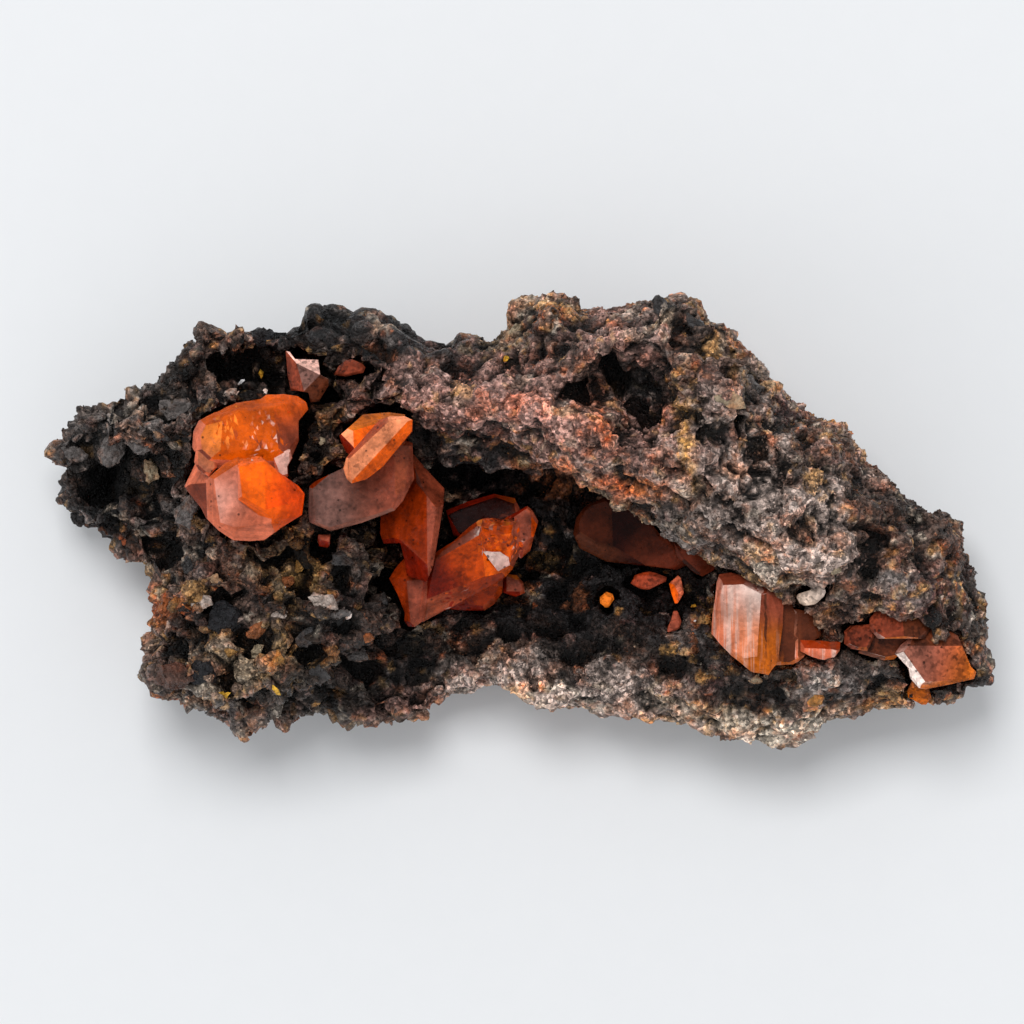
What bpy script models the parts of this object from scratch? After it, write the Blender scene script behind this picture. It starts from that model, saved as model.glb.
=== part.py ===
"""Wulfenite crystals on a knobbly gossan matrix, a loose specimen that lies on its flat broken back.

The display face looks up, along +Z. +X runs along the specimen's length and +Y across it.
The origin is at the middle of the base. Lengths in the tables are millimetres of a specimen 90 mm
long, and MM turns them into Blender's metres.
"""

import math
from dataclasses import dataclass

import bmesh
import bpy
import numpy as np
from mathutils import Euler, Matrix, Vector, noise

SPECIMEN_LENGTH = 0.09
MM = SPECIMEN_LENGTH / 90
OUTLINE_GROWTH = 0.8
RIM_HEIGHT = 10.0
RIM_WALL = 3.0
TOP_SHOULDER = 3.2
FOOT_CENTRE = (-1.0, -1.5)
FOOT_HALF_AXES = (31.0, 12.5)
FOOT_RISE = 15.0
SLAB_VOXEL = 0.9
JOIN_VOXEL = 0.75
MATRIX_TRIANGLES = 4600
SOCKET_GAP = 0.36
SOCKET_STEP = 0.003
SAME_SIDE = 0.985

# The silhouette of the matrix seen from above, clockwise from its left tip.
OUTLINE = [
    (-44.9, 7.3), (-43.5, 8.1), (-42.9, 9.2), (-42.5, 10.4), (-40.5, 10.6), (-38.7, 11.3), (-36.3, 11.6),
    (-34.7, 12.0), (-34.5, 13.3), (-33.0, 15.3), (-32.6, 16.2), (-31.3, 17.3), (-29.8, 18.1), (-26.7, 18.8),
    (-25.7, 18.2), (-24.8, 18.5), (-23.8, 18.1), (-21.3, 18.4), (-20.2, 18.2), (-20.0, 19.5), (-19.2, 20.3),
    (-18.3, 20.4), (-15.8, 19.2), (-14.4, 19.8), (-11.7, 18.9), (-10.9, 18.0), (-9.3, 17.2), (-6.8, 16.7),
    (-5.6, 17.5), (-4.7, 17.3), (-4.2, 16.5), (-3.0, 16.6), (-1.3, 18.8), (0.0, 20.0), (1.8, 21.3),
    (4.5, 21.0), (5.0, 20.3), (6.5, 20.5), (7.5, 20.2), (11.5, 20.3), (13.0, 21.4), (14.5, 21.0),
    (15.5, 21.5), (16.3, 20.8), (16.8, 19.3), (18.2, 19.0), (19.7, 17.4), (21.3, 16.5), (23.0, 15.3),
    (23.6, 13.6), (24.5, 12.4), (24.3, 11.4), (26.0, 10.9), (26.9, 10.0), (28.0, 9.8), (30.2, 9.5),
    (31.3, 8.2), (32.2, 5.6), (33.3, 4.6), (35.5, 3.5), (37.4, 2.3), (37.6, 1.4), (40.0, 0.9),
    (41.3, 0.0), (43.0, -3.8), (43.6, -4.6), (43.4, -5.4), (43.8, -6.5), (43.6, -7.4), (44.7, -9.6),
    (43.6, -10.1), (43.4, -11.0), (45.1, -14.0), (44.8, -15.0), (43.7, -15.5), (41.6, -16.5), (38.8, -17.3),
    (35.5, -17.4), (32.5, -18.5), (29.6, -18.8), (28.6, -20.4), (26.5, -21.4), (25.0, -21.2), (23.0, -20.3),
    (18.5, -20.6), (16.5, -19.8), (15.0, -18.8), (10.0, -17.6), (7.5, -17.7), (5.0, -17.2), (3.0, -16.6),
    (0.0, -16.4), (-2.8, -14.5), (-3.5, -14.4), (-4.4, -15.8), (-6.5, -16.5), (-8.3, -17.4), (-9.8, -18.6),
    (-11.5, -18.1), (-13.0, -19.1), (-15.0, -19.3), (-18.5, -18.5), (-23.5, -19.3), (-25.1, -19.9),
    (-28.5, -19.3), (-29.7, -17.8), (-31.1, -18.0), (-32.0, -16.8), (-34.8, -16.4), (-35.5, -15.6),
    (-35.5, -14.0), (-35.0, -12.8), (-35.7, -11.6), (-34.3, -9.5), (-35.2, -7.6), (-34.4, -5.5),
    (-36.0, -4.4), (-37.8, -3.5), (-39.5, -1.9), (-41.8, 0.0), (-42.3, 1.0), (-43.7, 1.8), (-43.0, 2.9),
    (-43.2, 4.8),
]

# Heights of the display face above the base, as (x, y, height), region by region.
WING = [
    (-44.0, 7.2, 13.0), (-42.0, 8.8, 15.5), (-39.5, 9.0, 18.5), (-37.0, 9.2, 19.5), (-36.0, 7.0, 18.0),
    (-42.3, 5.0, 11.0), (-39.5, 4.5, 10.5), (-37.0, 4.0, 11.0), (-42.5, 2.2, 12.5), (-40.0, 1.2, 13.5),
    (-37.5, -0.5, 12.5), (-35.5, 1.0, 11.5), (-34.3, -1.8, 12.0), (-36.0, -3.0, 12.0), (-34.0, 5.0, 17.0),
    (-33.2, 2.0, 17.5),
]
LEFT_DOME = [
    (-33.0, 13.0, 17.0), (-31.0, 16.0, 18.0), (-28.0, 17.2, 18.5), (-25.0, 17.0, 18.0), (-22.0, 17.2, 18.5),
    (-28.5, 14.2, 16.0), (-25.5, 14.0, 13.5), (-22.9, 14.3, 13.5), (-31.0, 12.0, 18.5), (-33.0, 9.0, 19.0),
    (-27.5, 11.8, 18.0), (-18.5, 19.0, 17.0), (-17.0, 17.0, 19.0), (-14.0, 18.3, 18.0), (-12.0, 16.5, 20.0),
    (-9.5, 16.0, 18.5), (-6.0, 16.4, 16.5), (-3.5, 15.8, 17.5),
]
CRYSTAL_BED = [
    (-26.0, 8.0, 20.0), (-31.0, 7.0, 19.5), (-30.0, 3.0, 19.0), (-25.0, 2.0, 20.0), (-20.5, 7.0, 20.5),
    (-19.5, 11.0, 20.0), (-18.0, 8.0, 20.5), (-20.0, 3.0, 19.0), (-15.0, 4.0, 19.5), (-14.0, 9.0, 20.5),
    (-28.0, -2.0, 19.0), (-24.0, -3.0, 19.5), (-20.5, -3.0, 19.0), (-16.0, 0.0, 17.5),
]
LOWER_LEFT = [
    (-32.0, -4.5, 16.5), (-29.0, -6.0, 20.0), (-25.0, -6.5, 20.0), (-21.0, -6.5, 18.5), (-17.0, -4.0, 17.0),
    (-13.4, -4.2, 15.5), (-33.5, -7.5, 15.5), (-30.5, -8.5, 19.5), (-26.5, -9.7, 17.5), (-22.5, -9.0, 20.5),
    (-18.0, -8.0, 21.0), (-14.5, -7.5, 19.0), (-12.8, -8.5, 16.5), (-33.0, -11.0, 14.5), (-32.5, -14.5, 18.0),
    (-34.5, -14.5, 15.0), (-29.5, -13.5, 18.5), (-25.0, -12.5, 21.5), (-22.0, -13.0, 21.5), (-17.5, -11.5, 20.5),
    (-14.8, -10.5, 19.0), (-28.0, -16.5, 18.5), (-25.0, -17.0, 17.0), (-22.0, -16.8, 18.5), (-19.0, -14.8, 18.0),
    (-26.0, -19.0, 13.0), (-20.0, -17.8, 14.0),
]
SHELF = [
    (-16.5, -15.5, 12.5), (-12.5, -13.0, 10.0), (-12.0, -16.5, 12.5), (-15.0, -18.0, 11.5), (-10.0, -17.5, 11.5),
    (-7.0, -14.0, 10.0), (-5.0, -15.5, 12.0), (-11.0, -5.0, 9.0), (-9.0, -11.0, 8.5), (-5.0, -8.0, 8.0),
    (-2.0, -11.0, 10.0), (0.0, -14.5, 12.5), (-3.0, -13.0, 11.5), (3.0, -7.0, 9.0), (3.0, -12.0, 12.0),
    (3.0, -15.5, 13.0), (7.5, -6.5, 9.5), (7.5, -10.0, 12.0), (8.0, -14.5, 14.0), (8.0, -17.0, 12.5),
    (12.0, -7.5, 11.0), (12.0, -12.0, 13.5), (14.0, -16.0, 14.0), (16.0, -9.0, 12.5), (17.0, -13.5, 14.0),
    (18.0, -18.0, 13.5), (20.5, -19.5, 12.5), (-11.5, 0.5, 9.5), (-6.0, 0.0, 6.5), (-2.0, 2.5, 7.0),
    (2.0, -1.0, 7.0), (6.0, -2.5, 8.0), (12.0, -5.0, 9.5), (17.0, -6.5, 11.5),
]
RIDGE = [
    (-9.5, 5.5, 14.0), (-5.0, 7.0, 19.0), (-9.0, 9.0, 21.5), (0.0, 6.0, 21.5), (4.0, 5.2, 24.5),
    (-6.0, 11.0, 24.5), (-2.0, 10.0, 25.5), (-11.0, 12.5, 23.5), (-14.0, 12.0, 21.5), (-8.0, 14.0, 23.0),
    (-3.0, 14.0, 23.5), (1.0, 15.8, 20.5), (0.0, 18.5, 20.0), (2.5, 20.0, 21.5), (4.0, 18.0, 24.0),
    (3.0, 13.2, 25.5), (6.5, 16.5, 27.0), (9.0, 19.0, 27.5), (13.0, 19.5, 28.0), (15.5, 20.0, 26.5),
    (17.0, 17.5, 28.0), (14.0, 16.0, 29.5), (10.0, 13.6, 24.0), (11.3, 11.5, 22.5), (5.5, 12.0, 24.5),
    (7.0, 9.0, 28.0), (3.0, 8.5, 27.0), (9.0, 6.5, 28.0), (6.0, 5.4, 27.0), (9.5, 3.6, 27.0),
    (12.0, 1.5, 26.5), (14.5, -0.5, 26.0), (17.0, -2.3, 25.5), (19.7, -4.3, 24.5),
]
RIGHT_MASS = [
    (13.0, 8.0, 29.0), (16.5, 10.0, 30.0), (20.0, 13.5, 28.5), (22.5, 14.0, 26.0), (21.0, 9.5, 29.0),
    (21.2, 7.4, 26.0), (17.0, 5.0, 29.0), (20.0, 3.0, 29.0), (15.0, 2.7, 28.0), (24.0, 9.5, 28.0),
    (26.5, 8.5, 26.0), (29.5, 8.0, 24.5), (25.0, 4.0, 28.5), (30.0, 5.0, 25.5), (28.0, 0.5, 27.5),
    (20.0, -1.5, 28.0), (24.0, -3.0, 27.5), (33.0, 2.5, 21.5), (32.0, -1.5, 24.5), (36.0, 1.8, 20.0),
    (38.0, -0.8, 20.0), (40.5, -2.5, 19.0), (36.0, -4.0, 22.5), (42.0, -5.5, 17.5), (28.0, -5.0, 25.5),
    (24.3, -5.6, 25.0), (33.0, -6.5, 23.0), (38.5, -7.0, 22.0), (42.5, -8.8, 17.0),
]
LOWER_RIGHT = [
    (23.0, -8.0, 19.0), (22.0, -12.0, 17.5), (19.0, -12.0, 15.5), (27.0, -8.0, 21.0), (28.0, -11.0, 19.0),
    (31.0, -9.5, 20.0), (33.0, -13.5, 18.0), (37.0, -11.0, 19.0), (41.0, -12.5, 19.0), (44.2, -14.0, 13.5),
    (38.0, -16.0, 16.0), (34.0, -16.0, 15.5), (30.0, -15.5, 16.0), (28.0, -18.0, 15.0), (25.0, -15.5, 16.5),
    (26.0, -20.4, 12.5), (22.0, -16.5, 15.5), (42.0, -15.0, 16.5),
]
SURVEY = WING + LEFT_DOME + CRYSTAL_BED + LOWER_LEFT + SHELF + RIDGE + RIGHT_MASS + LOWER_RIGHT

# Knobs that stand out of the surface, as (x, y, height of the centre, radius).
KNOBS = {
    "wing": [
        (-41.0, 9.2, 15.0, 1.7), (-38.6, 9.2, 18.3, 2.2), (-36.4, 8.6, 18.6, 1.8), (-39.2, 6.6, 17.0, 1.5),
        (-43.5, 7.2, 12.5, 1.3), (-42.3, 2.2, 12.5, 1.4), (-39.6, 1.2, 13.2, 1.9), (-36.8, -0.8, 12.6, 2.2),
        (-34.6, 4.8, 16.6, 1.4), (-33.3, 3.2, 17.4, 1.4), (-31.6, 0.4, 18.2, 1.7), (-33.2, 8.4, 18.4, 2.0),
    ],
    "top": [
        (-18.6, 18.8, 16.6, 1.8), (-14.6, 18.0, 17.4, 2.1), (-12.2, 17.0, 18.6, 1.9), (-9.8, 16.2, 17.6, 1.4),
        (-5.4, 16.5, 16.0, 1.3), (-7.8, 16.0, 17.0, 1.2), (-26.8, 17.4, 17.6, 1.5), (-30.6, 16.4, 17.2, 1.6),
        (-22.8, 17.3, 17.6, 1.3), (-33.2, 14.0, 16.0, 1.5), (2.6, 20.3, 20.8, 1.5), (13.1, 20.3, 26.6, 1.3),
        (15.7, 20.3, 25.6, 1.5), (18.5, 17.8, 26.6, 1.6), (21.0, 15.4, 27.2, 1.6), (29.6, 8.6, 23.2, 1.4),
        (36.2, 2.2, 19.4, 1.5), (39.4, -0.6, 18.8, 2.0),
    ],
    "lower_left": [
        (-33.9, -7.5, 15.0, 1.5), (-30.8, -8.4, 19.6, 1.6), (-29.3, -5.8, 20.6, 1.4), (-25.6, -6.4, 20.4, 1.5),
        (-23.0, -7.9, 21.0, 1.6), (-18.4, -8.0, 21.6, 2.0), (-15.9, -8.9, 20.4, 1.3), (-14.8, -10.8, 19.2, 1.4),
        (-26.4, -12.3, 21.8, 1.5), (-23.2, -13.1, 22.0, 1.7), (-25.3, -14.2, 21.2, 1.5), (-27.4, -16.9, 18.8, 1.8),
        (-22.9, -16.4, 19.0, 1.5), (-33.3, -15.0, 17.2, 2.2), (-31.3, -17.2, 12.4, 1.1), (-20.3, -14.6, 18.8, 1.9),
        (-17.4, -12.2, 20.0, 1.6), (-13.4, -4.4, 15.8, 1.7), (-16.3, -3.4, 17.4, 1.8), (-19.8, -5.0, 19.4, 1.5),
        (-28.4, -9.8, 19.2, 1.5), (-29.8, -13.0, 19.0, 1.6), (-33.4, -10.2, 14.6, 1.3), (-26.2, -18.8, 13.0, 1.5),
    ],
    "right": [
        (8.0, 8.0, 28.0, 1.7), (4.5, 9.6, 27.0, 1.5), (9.0, 17.8, 27.8, 1.8), (14.6, 13.2, 29.2, 1.8),
        (17.6, 14.2, 28.8, 1.7), (19.2, 10.6, 29.6, 2.0), (27.0, 6.0, 27.6, 1.7), (24.6, 0.6, 28.2, 1.6),
        (29.6, -2.6, 26.4, 1.5), (35.8, -2.0, 22.2, 1.6), (26.6, -19.6, 13.2, 1.7), (20.2, -19.0, 13.2, 1.6),
        (27.6, -17.2, 15.4, 1.5), (43.6, -14.2, 13.6, 1.3), (43.4, -9.0, 15.6, 1.2),
    ],
}


@dataclass(frozen=True)
class Hollow:
    """An ellipsoid cut out of the matrix: its centre, half axes and turns, in millimetres and degrees."""

    centre: tuple
    half_axes: tuple
    turns: tuple = (0.0, 0.0, 0.0)


HOLLOWS = [
    # The vug under the ridge's thin lip, in two reaches.
    Hollow((8.5, 0.6, 13.5), (8.5, 4.2, 6.8), (0.0, 0.0, -34.0)),
    Hollow((-3.0, 3.2, 11.5), (8.0, 4.0, 6.0), (0.0, 0.0, 8.0)),
    # Solution holes in the ridge and in the dome.
    Hollow((9.2, 13.4, 27.5), (3.2, 1.3, 5.0), (0.0, 0.0, -28.0)),
    Hollow((11.6, 11.3, 27.5), (1.2, 2.6, 6.0), (0.0, 0.0, 18.0)),
    Hollow((5.6, 12.3, 26.0), (2.2, 0.8, 3.4), (0.0, 0.0, -6.0)),
    Hollow((1.0, 16.0, 22.5), (1.3, 0.9, 3.0), (0.0, 0.0, 0.0)),
    Hollow((21.3, 7.4, 29.0), (0.8, 1.9, 4.0), (0.0, 0.0, -12.0)),
    Hollow((-23.2, 14.4, 15.5), (1.7, 2.3, 3.0), (0.0, 0.0, 0.0)),
    Hollow((-26.5, 14.6, 16.0), (2.4, 1.5, 2.6), (0.0, 0.0, 20.0)),
]


@dataclass(frozen=True)
class Fold:
    """A facet that bends down from another one along a line, which is drawn as seen from above.

    The new facet lies on the left of the line's direction. bend is in degrees. parent is the
    number of the facet that it bends from, where 0 is the main one.
    """

    line: tuple
    bend: float
    parent: int = 0


@dataclass(frozen=True)
class Gem:
    """A crystal cut from an upright block.

    outline holds its corners seen from above, clockwise. foot is the height of its underside.
    face is a spot on its main facet and where that looks: (x, y, height, turn, tilt), tilted
    from straight up towards the compass direction turn. folds are its other facets. rim is how
    far the worn edge comes down all round, and taper shrinks the underside.
    """

    outline: tuple
    foot: float
    face: tuple
    folds: tuple = ()
    rim: float = 0.45
    taper: float = 0.9


LEFT_CRYSTALS = [
    # The salmon tablet in front.
    Gem(
        ((-29.8, 3.9), (-28.0, 5.5), (-26.8, 6.0), (-23.9, 5.4), (-22.8, -0.75), (-24.3, -1.8), (-25.6, -1.9),
         (-27.2, -1.8), (-28.6, -0.9), (-29.7, 0.2)),
        17.0, (-27.5, 2.5, 26.9, 160, 15),
        (Fold(((-22.6, -0.3), (-28.8, -0.65)), 38), Fold(((-29.2, 0.2), (-29.0, 4.6)), 24)),
    ),
    # The orange block that grew through it.
    Gem(
        ((-26.75, 5.8), (-24.6, 6.15), (-22.7, 4.5), (-21.0, 3.3), (-20.45, 2.6), (-20.7, 0.6), (-22.8, -0.7),
         (-24.3, 0.2), (-26.7, 2.05)),
        17.5, (-25.6, 3.9, 28.3, 60, 8),
        (Fold(((-24.2, 5.9), (-24.1, 1.2)), 16), Fold(((-21.0, 1.9), (-24.4, 1.0)), 20, 1),
         Fold(((-26.6, 5.25), (-24.4, 5.6)), 30)),
        0.25,
    ),
    # The etched plate at the back.
    Gem(
        ((-31.2, 7.0), (-31.1, 8.5), (-30.6, 9.5), (-29.5, 10.1), (-27.0, 11.2), (-24.7, 11.6), (-24.2, 11.95),
         (-22.5, 12.05), (-21.2, 11.85), (-20.4, 11.3), (-20.2, 10.6), (-21.1, 9.5), (-21.1, 7.6), (-22.2, 5.0),
         (-29.0, 5.0), (-30.6, 6.0)),
        16.0, (-26.0, 8.6, 24.2, 85, 7),
        (Fold(((-28.5, 6.0), (-28.2, 10.9)), 17), Fold(((-23.5, 10.8), (-22.9, 6.4)), 19),
         Fold(((-24.9, 10.75), (-20.8, 10.7)), 26), Fold(((-22.4, 6.9), (-29.4, 6.7)), 20),
         Fold(((-30.6, 8.4), (-26.2, 10.9)), 18)),
        0.6,
    ),
    # The red wedge on the left, the pink ones between the two tablets.
    Gem(
        ((-31.0, 5.4), (-29.6, 5.2), (-28.8, 3.0), (-29.2, 0.4), (-29.9, 0.2), (-30.4, 1.2), (-31.6, 2.7), (-32.0, 3.3)),
        16.5, (-30.0, 2.8, 22.6, 195, 34),
        (Fold(((-31.3, 2.7), (-30.1, 5.2)), 26), Fold(((-29.9, 0.6), (-31.4, 2.9)), 24)), 0.2,
    ),
    Gem(
        ((-31.0, 5.6), (-30.8, 7.0), (-30.0, 6.9), (-29.1, 6.1), (-28.8, 5.1), (-29.6, 4.2), (-30.6, 4.9)),
        17.0, (-29.9, 5.5, 23.9, 150, 18), (), 0.2,
    ),
    Gem(
        ((-23.5, 6.2), (-22.9, 6.8), (-21.9, 6.8), (-21.7, 6.0), (-22.15, 5.2), (-22.1, 4.2), (-23.2, 4.2)),
        17.0, (-22.6, 5.6, 24.4, 140, 15), (), 0.2,
    ),
]

MIDDLE_CRYSTALS = [
    # The broad tablet.
    Gem(
        ((-20.1, 3.3), (-19.5, 3.8), (-17.2, 4.9), (-12.1, 7.6), (-10.8, 7.6), (-10.3, 7.4), (-10.15, 4.0),
         (-11.2, 1.9), (-12.0, 1.0), (-15.2, -0.2), (-18.1, -0.95), (-19.2, -0.5), (-20.1, -0.1), (-20.2, 0.9)),
        15.0, (-16.0, 2.5, 22.8, 125, 9),
        (Fold(((-12.05, 7.0), (-11.95, 2.8)), 24), Fold(((-11.9, 2.75), (-17.5, 0.75)), 11),
         Fold(((-12.0, 1.25), (-19.6, -0.7)), 34), Fold(((-19.7, -0.2), (-19.7, 3.4)), 14)),
        0.3,
    ),
    # The narrow bright tablet on it, and the prism behind that.
    Gem(
        ((-16.8, 5.0), (-16.5, 6.0), (-13.4, 9.55), (-12.4, 9.9), (-11.0, 9.9), (-10.25, 9.55), (-10.3, 8.5),
         (-13.0, 5.2), (-14.6, 3.95), (-16.0, 3.55), (-16.5, 4.0)),
        20.5, (-13.5, 6.8, 28.0, 135, 13),
        (Fold(((-10.9, 9.2), (-15.9, 3.85)), 46), Fold(((-16.2, 5.9), (-12.5, 9.4)), 40),
         Fold(((-15.9, 3.7), (-16.2, 5.9)), 44), Fold(((-12.6, 9.4), (-10.8, 9.4)), 40)),
        0.0, 1.0,
    ),
    Gem(
        ((-17.2, 8.1), (-16.7, 8.5), (-15.0, 10.1), (-12.5, 10.3), (-11.0, 10.1), (-11.0, 7.4), (-15.0, 5.0),
         (-16.6, 6.6), (-17.0, 7.4)),
        16.0, (-14.8, 8.8, 25.2, 60, 18),
        (Fold(((-15.8, 6.0), (-15.9, 8.8)), 32), Fold(((-15.9, 9.0), (-11.5, 9.75)), 24)), 0.3,
    ),
    # The upright pair, upper and lower.
    Gem(
        ((-10.8, 6.8), (-10.1, 6.2), (-8.6, 4.45), (-7.3, 3.1), (-7.4, 1.5), (-8.35, -4.2), (-9.0, -5.8), (-10.9, -5.2),
         (-11.1, -3.7), (-11.5, -2.1), (-13.1, -2.15), (-13.45, -1.2), (-13.4, 0.5), (-12.4, 3.0)),
        9.0, (-10.4, 0.0, 19.3, 172, 30),
        (Fold(((-9.0, 4.5), (-8.9, -4.6)), 19), Fold(((-7.95, 3.9), (-8.5, -4.6)), 42, 1),
         Fold(((-10.6, 2.7), (-7.6, 2.3)), 20, 1), Fold(((-11.5, -3.0), (-11.4, 2.4)), 10)),
        0.2, 0.92,
    ),
    Gem(
        ((-11.2, -3.6), (-8.6, -3.8), (-8.7, -6.2), (-9.3, -9.5), (-10.1, -10.1), (-10.75, -10.1), (-11.15, -9.6),
         (-11.1, -8.8), (-11.8, -7.0), (-12.6, -5.5), (-12.0, -4.5)),
        8.0, (-11.5, -6.5, 15.9, 178, 30),
        (Fold(((-10.95, -5.4), (-10.5, -10.2)), 19), Fold(((-9.25, -5.2), (-10.0, -10.3)), 42, 1),
         Fold(((-11.3, -5.75), (-9.0, -5.55)), 26, 1)),
        0.2, 0.92,
    ),
    # The long crystal, its bright facet, the plates at its ends and beneath it.
    Gem(
        ((-8.7, -3.6), (-8.0, -2.9), (-6.4, -1.9), (-5.0, -0.6), (-4.0, 0.1), (-3.2, 0.3), (-1.2, 0.1), (-0.2, -0.2),
         (-0.2, -3.3), (-0.8, -4.6), (-1.5, -5.4), (-2.5, -6.0), (-5.4, -7.5), (-9.4, -9.7), (-9.6, -6.5)),
        6.0, (-5.6, -4.2, 16.6, -62, 20),
        (Fold(((-8.6, -4.0), (-4.0, -1.35)), 34), Fold(((-3.9, -1.0), (-3.65, -3.2)), 11),
         Fold(((-1.0, -4.35), (-8.6, -7.3)), 20), Fold(((-4.4, -1.5), (-0.2, -1.1)), 22, 2)),
        0.3, 0.92,
    ),
    Gem(
        ((-3.7, -2.85), (-2.0, -3.0), (-1.2, -3.5), (-1.05, -4.2), (-2.2, -4.8)), 12.0,
        (-2.3, -3.7, 17.0, 132, 15), (), 0.0,
    ),
    Gem(
        ((-1.6, 0.2), (-0.2, 1.0), (0.6, 1.45), (1.1, 1.0), (1.65, 0.0), (1.2, -1.6), (0.9, -2.8), (0.0, -3.6),
         (-0.9, -3.0), (-1.6, -0.9)),
        6.5, (0.4, -0.5, 15.2, 95, 10),
        (Fold(((1.0, 1.0), (0.95, -2.0)), 24), Fold(((1.2, -2.0), (-0.6, -2.0)), 44)), 0.2,
    ),
    Gem(
        ((-7.6, -6.6), (-2.6, -4.6), (-1.7, -5.6), (-1.8, -6.9), (-2.6, -8.0), (-3.5, -8.6), (-5.5, -8.6),
         (-7.0, -8.4)),
        6.0, (-4.5, -7.6, 11.7, -75, 16), (), 0.4,
    ),
    Gem(
        ((-7.2, 1.0), (-5.0, 1.9), (-2.6, 2.6), (-0.6, 2.2), (-0.1, 1.2), (-0.6, -0.6), (-4.0, -1.6), (-6.5, -1.4)),
        5.0, (-3.0, 1.4, 11.4, 100, 16), (), 0.3,
    ),
    Gem(
        ((-1.9, -5.0), (-0.4, -5.2), (0.2, -5.9), (0.4, -6.9), (-0.5, -7.3), (-1.7, -6.9)), 6.5,
        (-0.5, -6.4, 11.3, 200, 18), (), 0.3,
    ),
]

RECESS_CRYSTALS = [
    Gem(
        ((5.3, 0.3), (6.0, 1.3), (8.0, 2.3), (9.5, 1.9), (12.0, 0.4), (13.6, -1.6), (15.0, -2.0), (16.2, -4.1),
         (15.0, -4.7), (12.0, -4.3), (8.2, -3.9), (5.6, -2.6), (5.0, -1.2)),
        8.0, (7.6, -0.8, 14.0, -100, 16),
        (Fold(((8.6, 2.4), (8.9, -3.6)), 10), Fold(((8.4, -2.3), (5.4, -1.6)), 22)), 0.3,
    ),
    Gem(
        ((14.6, -2.1), (16.0, -2.1), (18.5, -3.3), (18.9, -4.1), (18.4, -4.7), (17.3, -5.3), (16.5, -4.9),
         (14.8, -3.4)),
        11.0, (17.0, -3.9, 17.4, -60, 16), (Fold(((15.6, -2.7), (17.6, -5.4)), 14),), 0.2,
    ),
]

STRIATED_CRYSTAL = [
    Gem(
        ((18.6, -5.9), (18.9, -5.1), (20.0, -4.85), (21.8, -5.4), (22.9, -6.2), (23.9, -6.5), (25.0, -7.4),
         (24.9, -10.1), (24.4, -13.4), (23.5, -14.6), (22.1, -14.45), (20.0, -12.8), (18.1, -10.75), (18.2, -8.9)),
        11.0, (20.6, -9.3, 21.2, 140, 11),
        (Fold(((22.9, -6.2), (22.4, -13.0)), 30), Fold(((22.6, -12.85), (20.2, -13.15)), 34),
         Fold(((18.3, -6.15), (22.4, -5.95)), 24)),
        0.25,
    ),
    Gem(
        ((24.4, -7.4), (25.6, -7.4), (26.0, -8.4), (28.3, -8.7), (28.6, -10.9), (27.6, -11.6), (26.9, -13.0),
         (25.9, -13.7), (24.0, -13.7), (23.6, -12.4)),
        11.0, (26.0, -10.0, 19.4, 30, 8), (Fold(((26.9, -7.4), (26.7, -13.2)), 12),), 0.3,
    ),
    Gem(
        ((26.6, -11.3), (30.4, -11.5), (30.3, -12.3), (29.8, -12.95), (28.9, -13.2), (27.9, -13.0), (26.6, -12.4)),
        14.0, (28.9, -12.5, 20.4, 200, 14), (Fold(((27.2, -12.1), (30.3, -12.2)), 26),), 0.2,
    ),
]

RIGHT_END_CRYSTALS = [
    Gem(
        ((35.6, -12.6), (36.2, -11.8), (38.0, -10.3), (40.0, -10.0), (41.6, -10.9), (42.9, -13.9), (43.4, -14.4),
         (43.2, -15.05), (40.7, -15.6), (38.6, -16.0), (37.9, -15.9), (37.1, -15.0), (36.9, -14.0)),
        11.5, (40.0, -13.6, 19.2, 10, 9),
        (Fold(((36.3, -11.85), (42.0, -11.9)), 17), Fold(((38.85, -15.8), (36.1, -12.0)), 30),
         Fold(((42.0, -12.0), (42.6, -14.6)), 26)),
        0.25,
    ),
    Gem(
        ((33.2, -10.3), (33.2, -9.3), (34.0, -8.3), (34.9, -7.6), (36.0, -8.2), (38.9, -8.9), (39.1, -10.0),
         (38.4, -11.2), (34.0, -11.2)),
        13.0, (35.3, -9.2, 19.5, 110, 18), (Fold(((36.2, -8.0), (36.4, -10.4)), 14),), 0.3,
    ),
    Gem(
        ((32.9, -9.9), (37.8, -9.9), (37.8, -11.4), (36.2, -12.6), (35.6, -13.2), (34.6, -13.3), (32.2, -12.6),
         (32.4, -11.2)),
        13.0, (34.8, -11.4, 17.8, -110, 10), (), 0.3,
    ),
    Gem(
        ((30.8, -10.5), (31.4, -10.0), (33.6, -9.8), (33.8, -10.8), (33.0, -12.4), (31.5, -12.2), (30.8, -11.7)),
        14.0, (32.0, -11.0, 18.5, 150, 13), (), 0.3,
    ),
    Gem(
        ((37.0, -16.3), (37.6, -15.0), (38.8, -15.0), (39.35, -17.0), (38.8, -17.6), (38.4, -17.6), (37.1, -16.9)),
        10.5, (38.2, -16.5, 14.2, -90, 34), (), 0.3,
    ),
]

TOP_CRYSTAL = [
    Gem(
        ((-22.4, 16.2), (-22.0, 16.1), (-21.5, 15.4), (-19.3, 15.35), (-19.1, 13.9), (-18.3, 13.5), (-18.3, 12.9),
         (-19.2, 11.4), (-20.0, 11.3), (-20.2, 12.2), (-21.3, 12.4), (-21.9, 12.4), (-22.2, 13.8)),
        13.0, (-20.4, 13.9, 21.4, 138, 13),
        (Fold(((-21.0, 11.8), (-21.5, 15.6)), 34), Fold(((-19.1, 13.9), (-20.95, 12.0)), 36)), 0.15,
    ),
]
TOP_PLATE = [
    Gem(
        ((-17.8, 13.9), (-17.4, 14.7), (-16.7, 15.3), (-16.1, 15.4), (-15.1, 15.0), (-14.8, 14.6), (-15.0, 14.1),
         (-16.7, 13.75)),
        15.0, (-16.3, 14.5, 20.4, 110, 12), (), 0.3,
    ),
]
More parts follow.
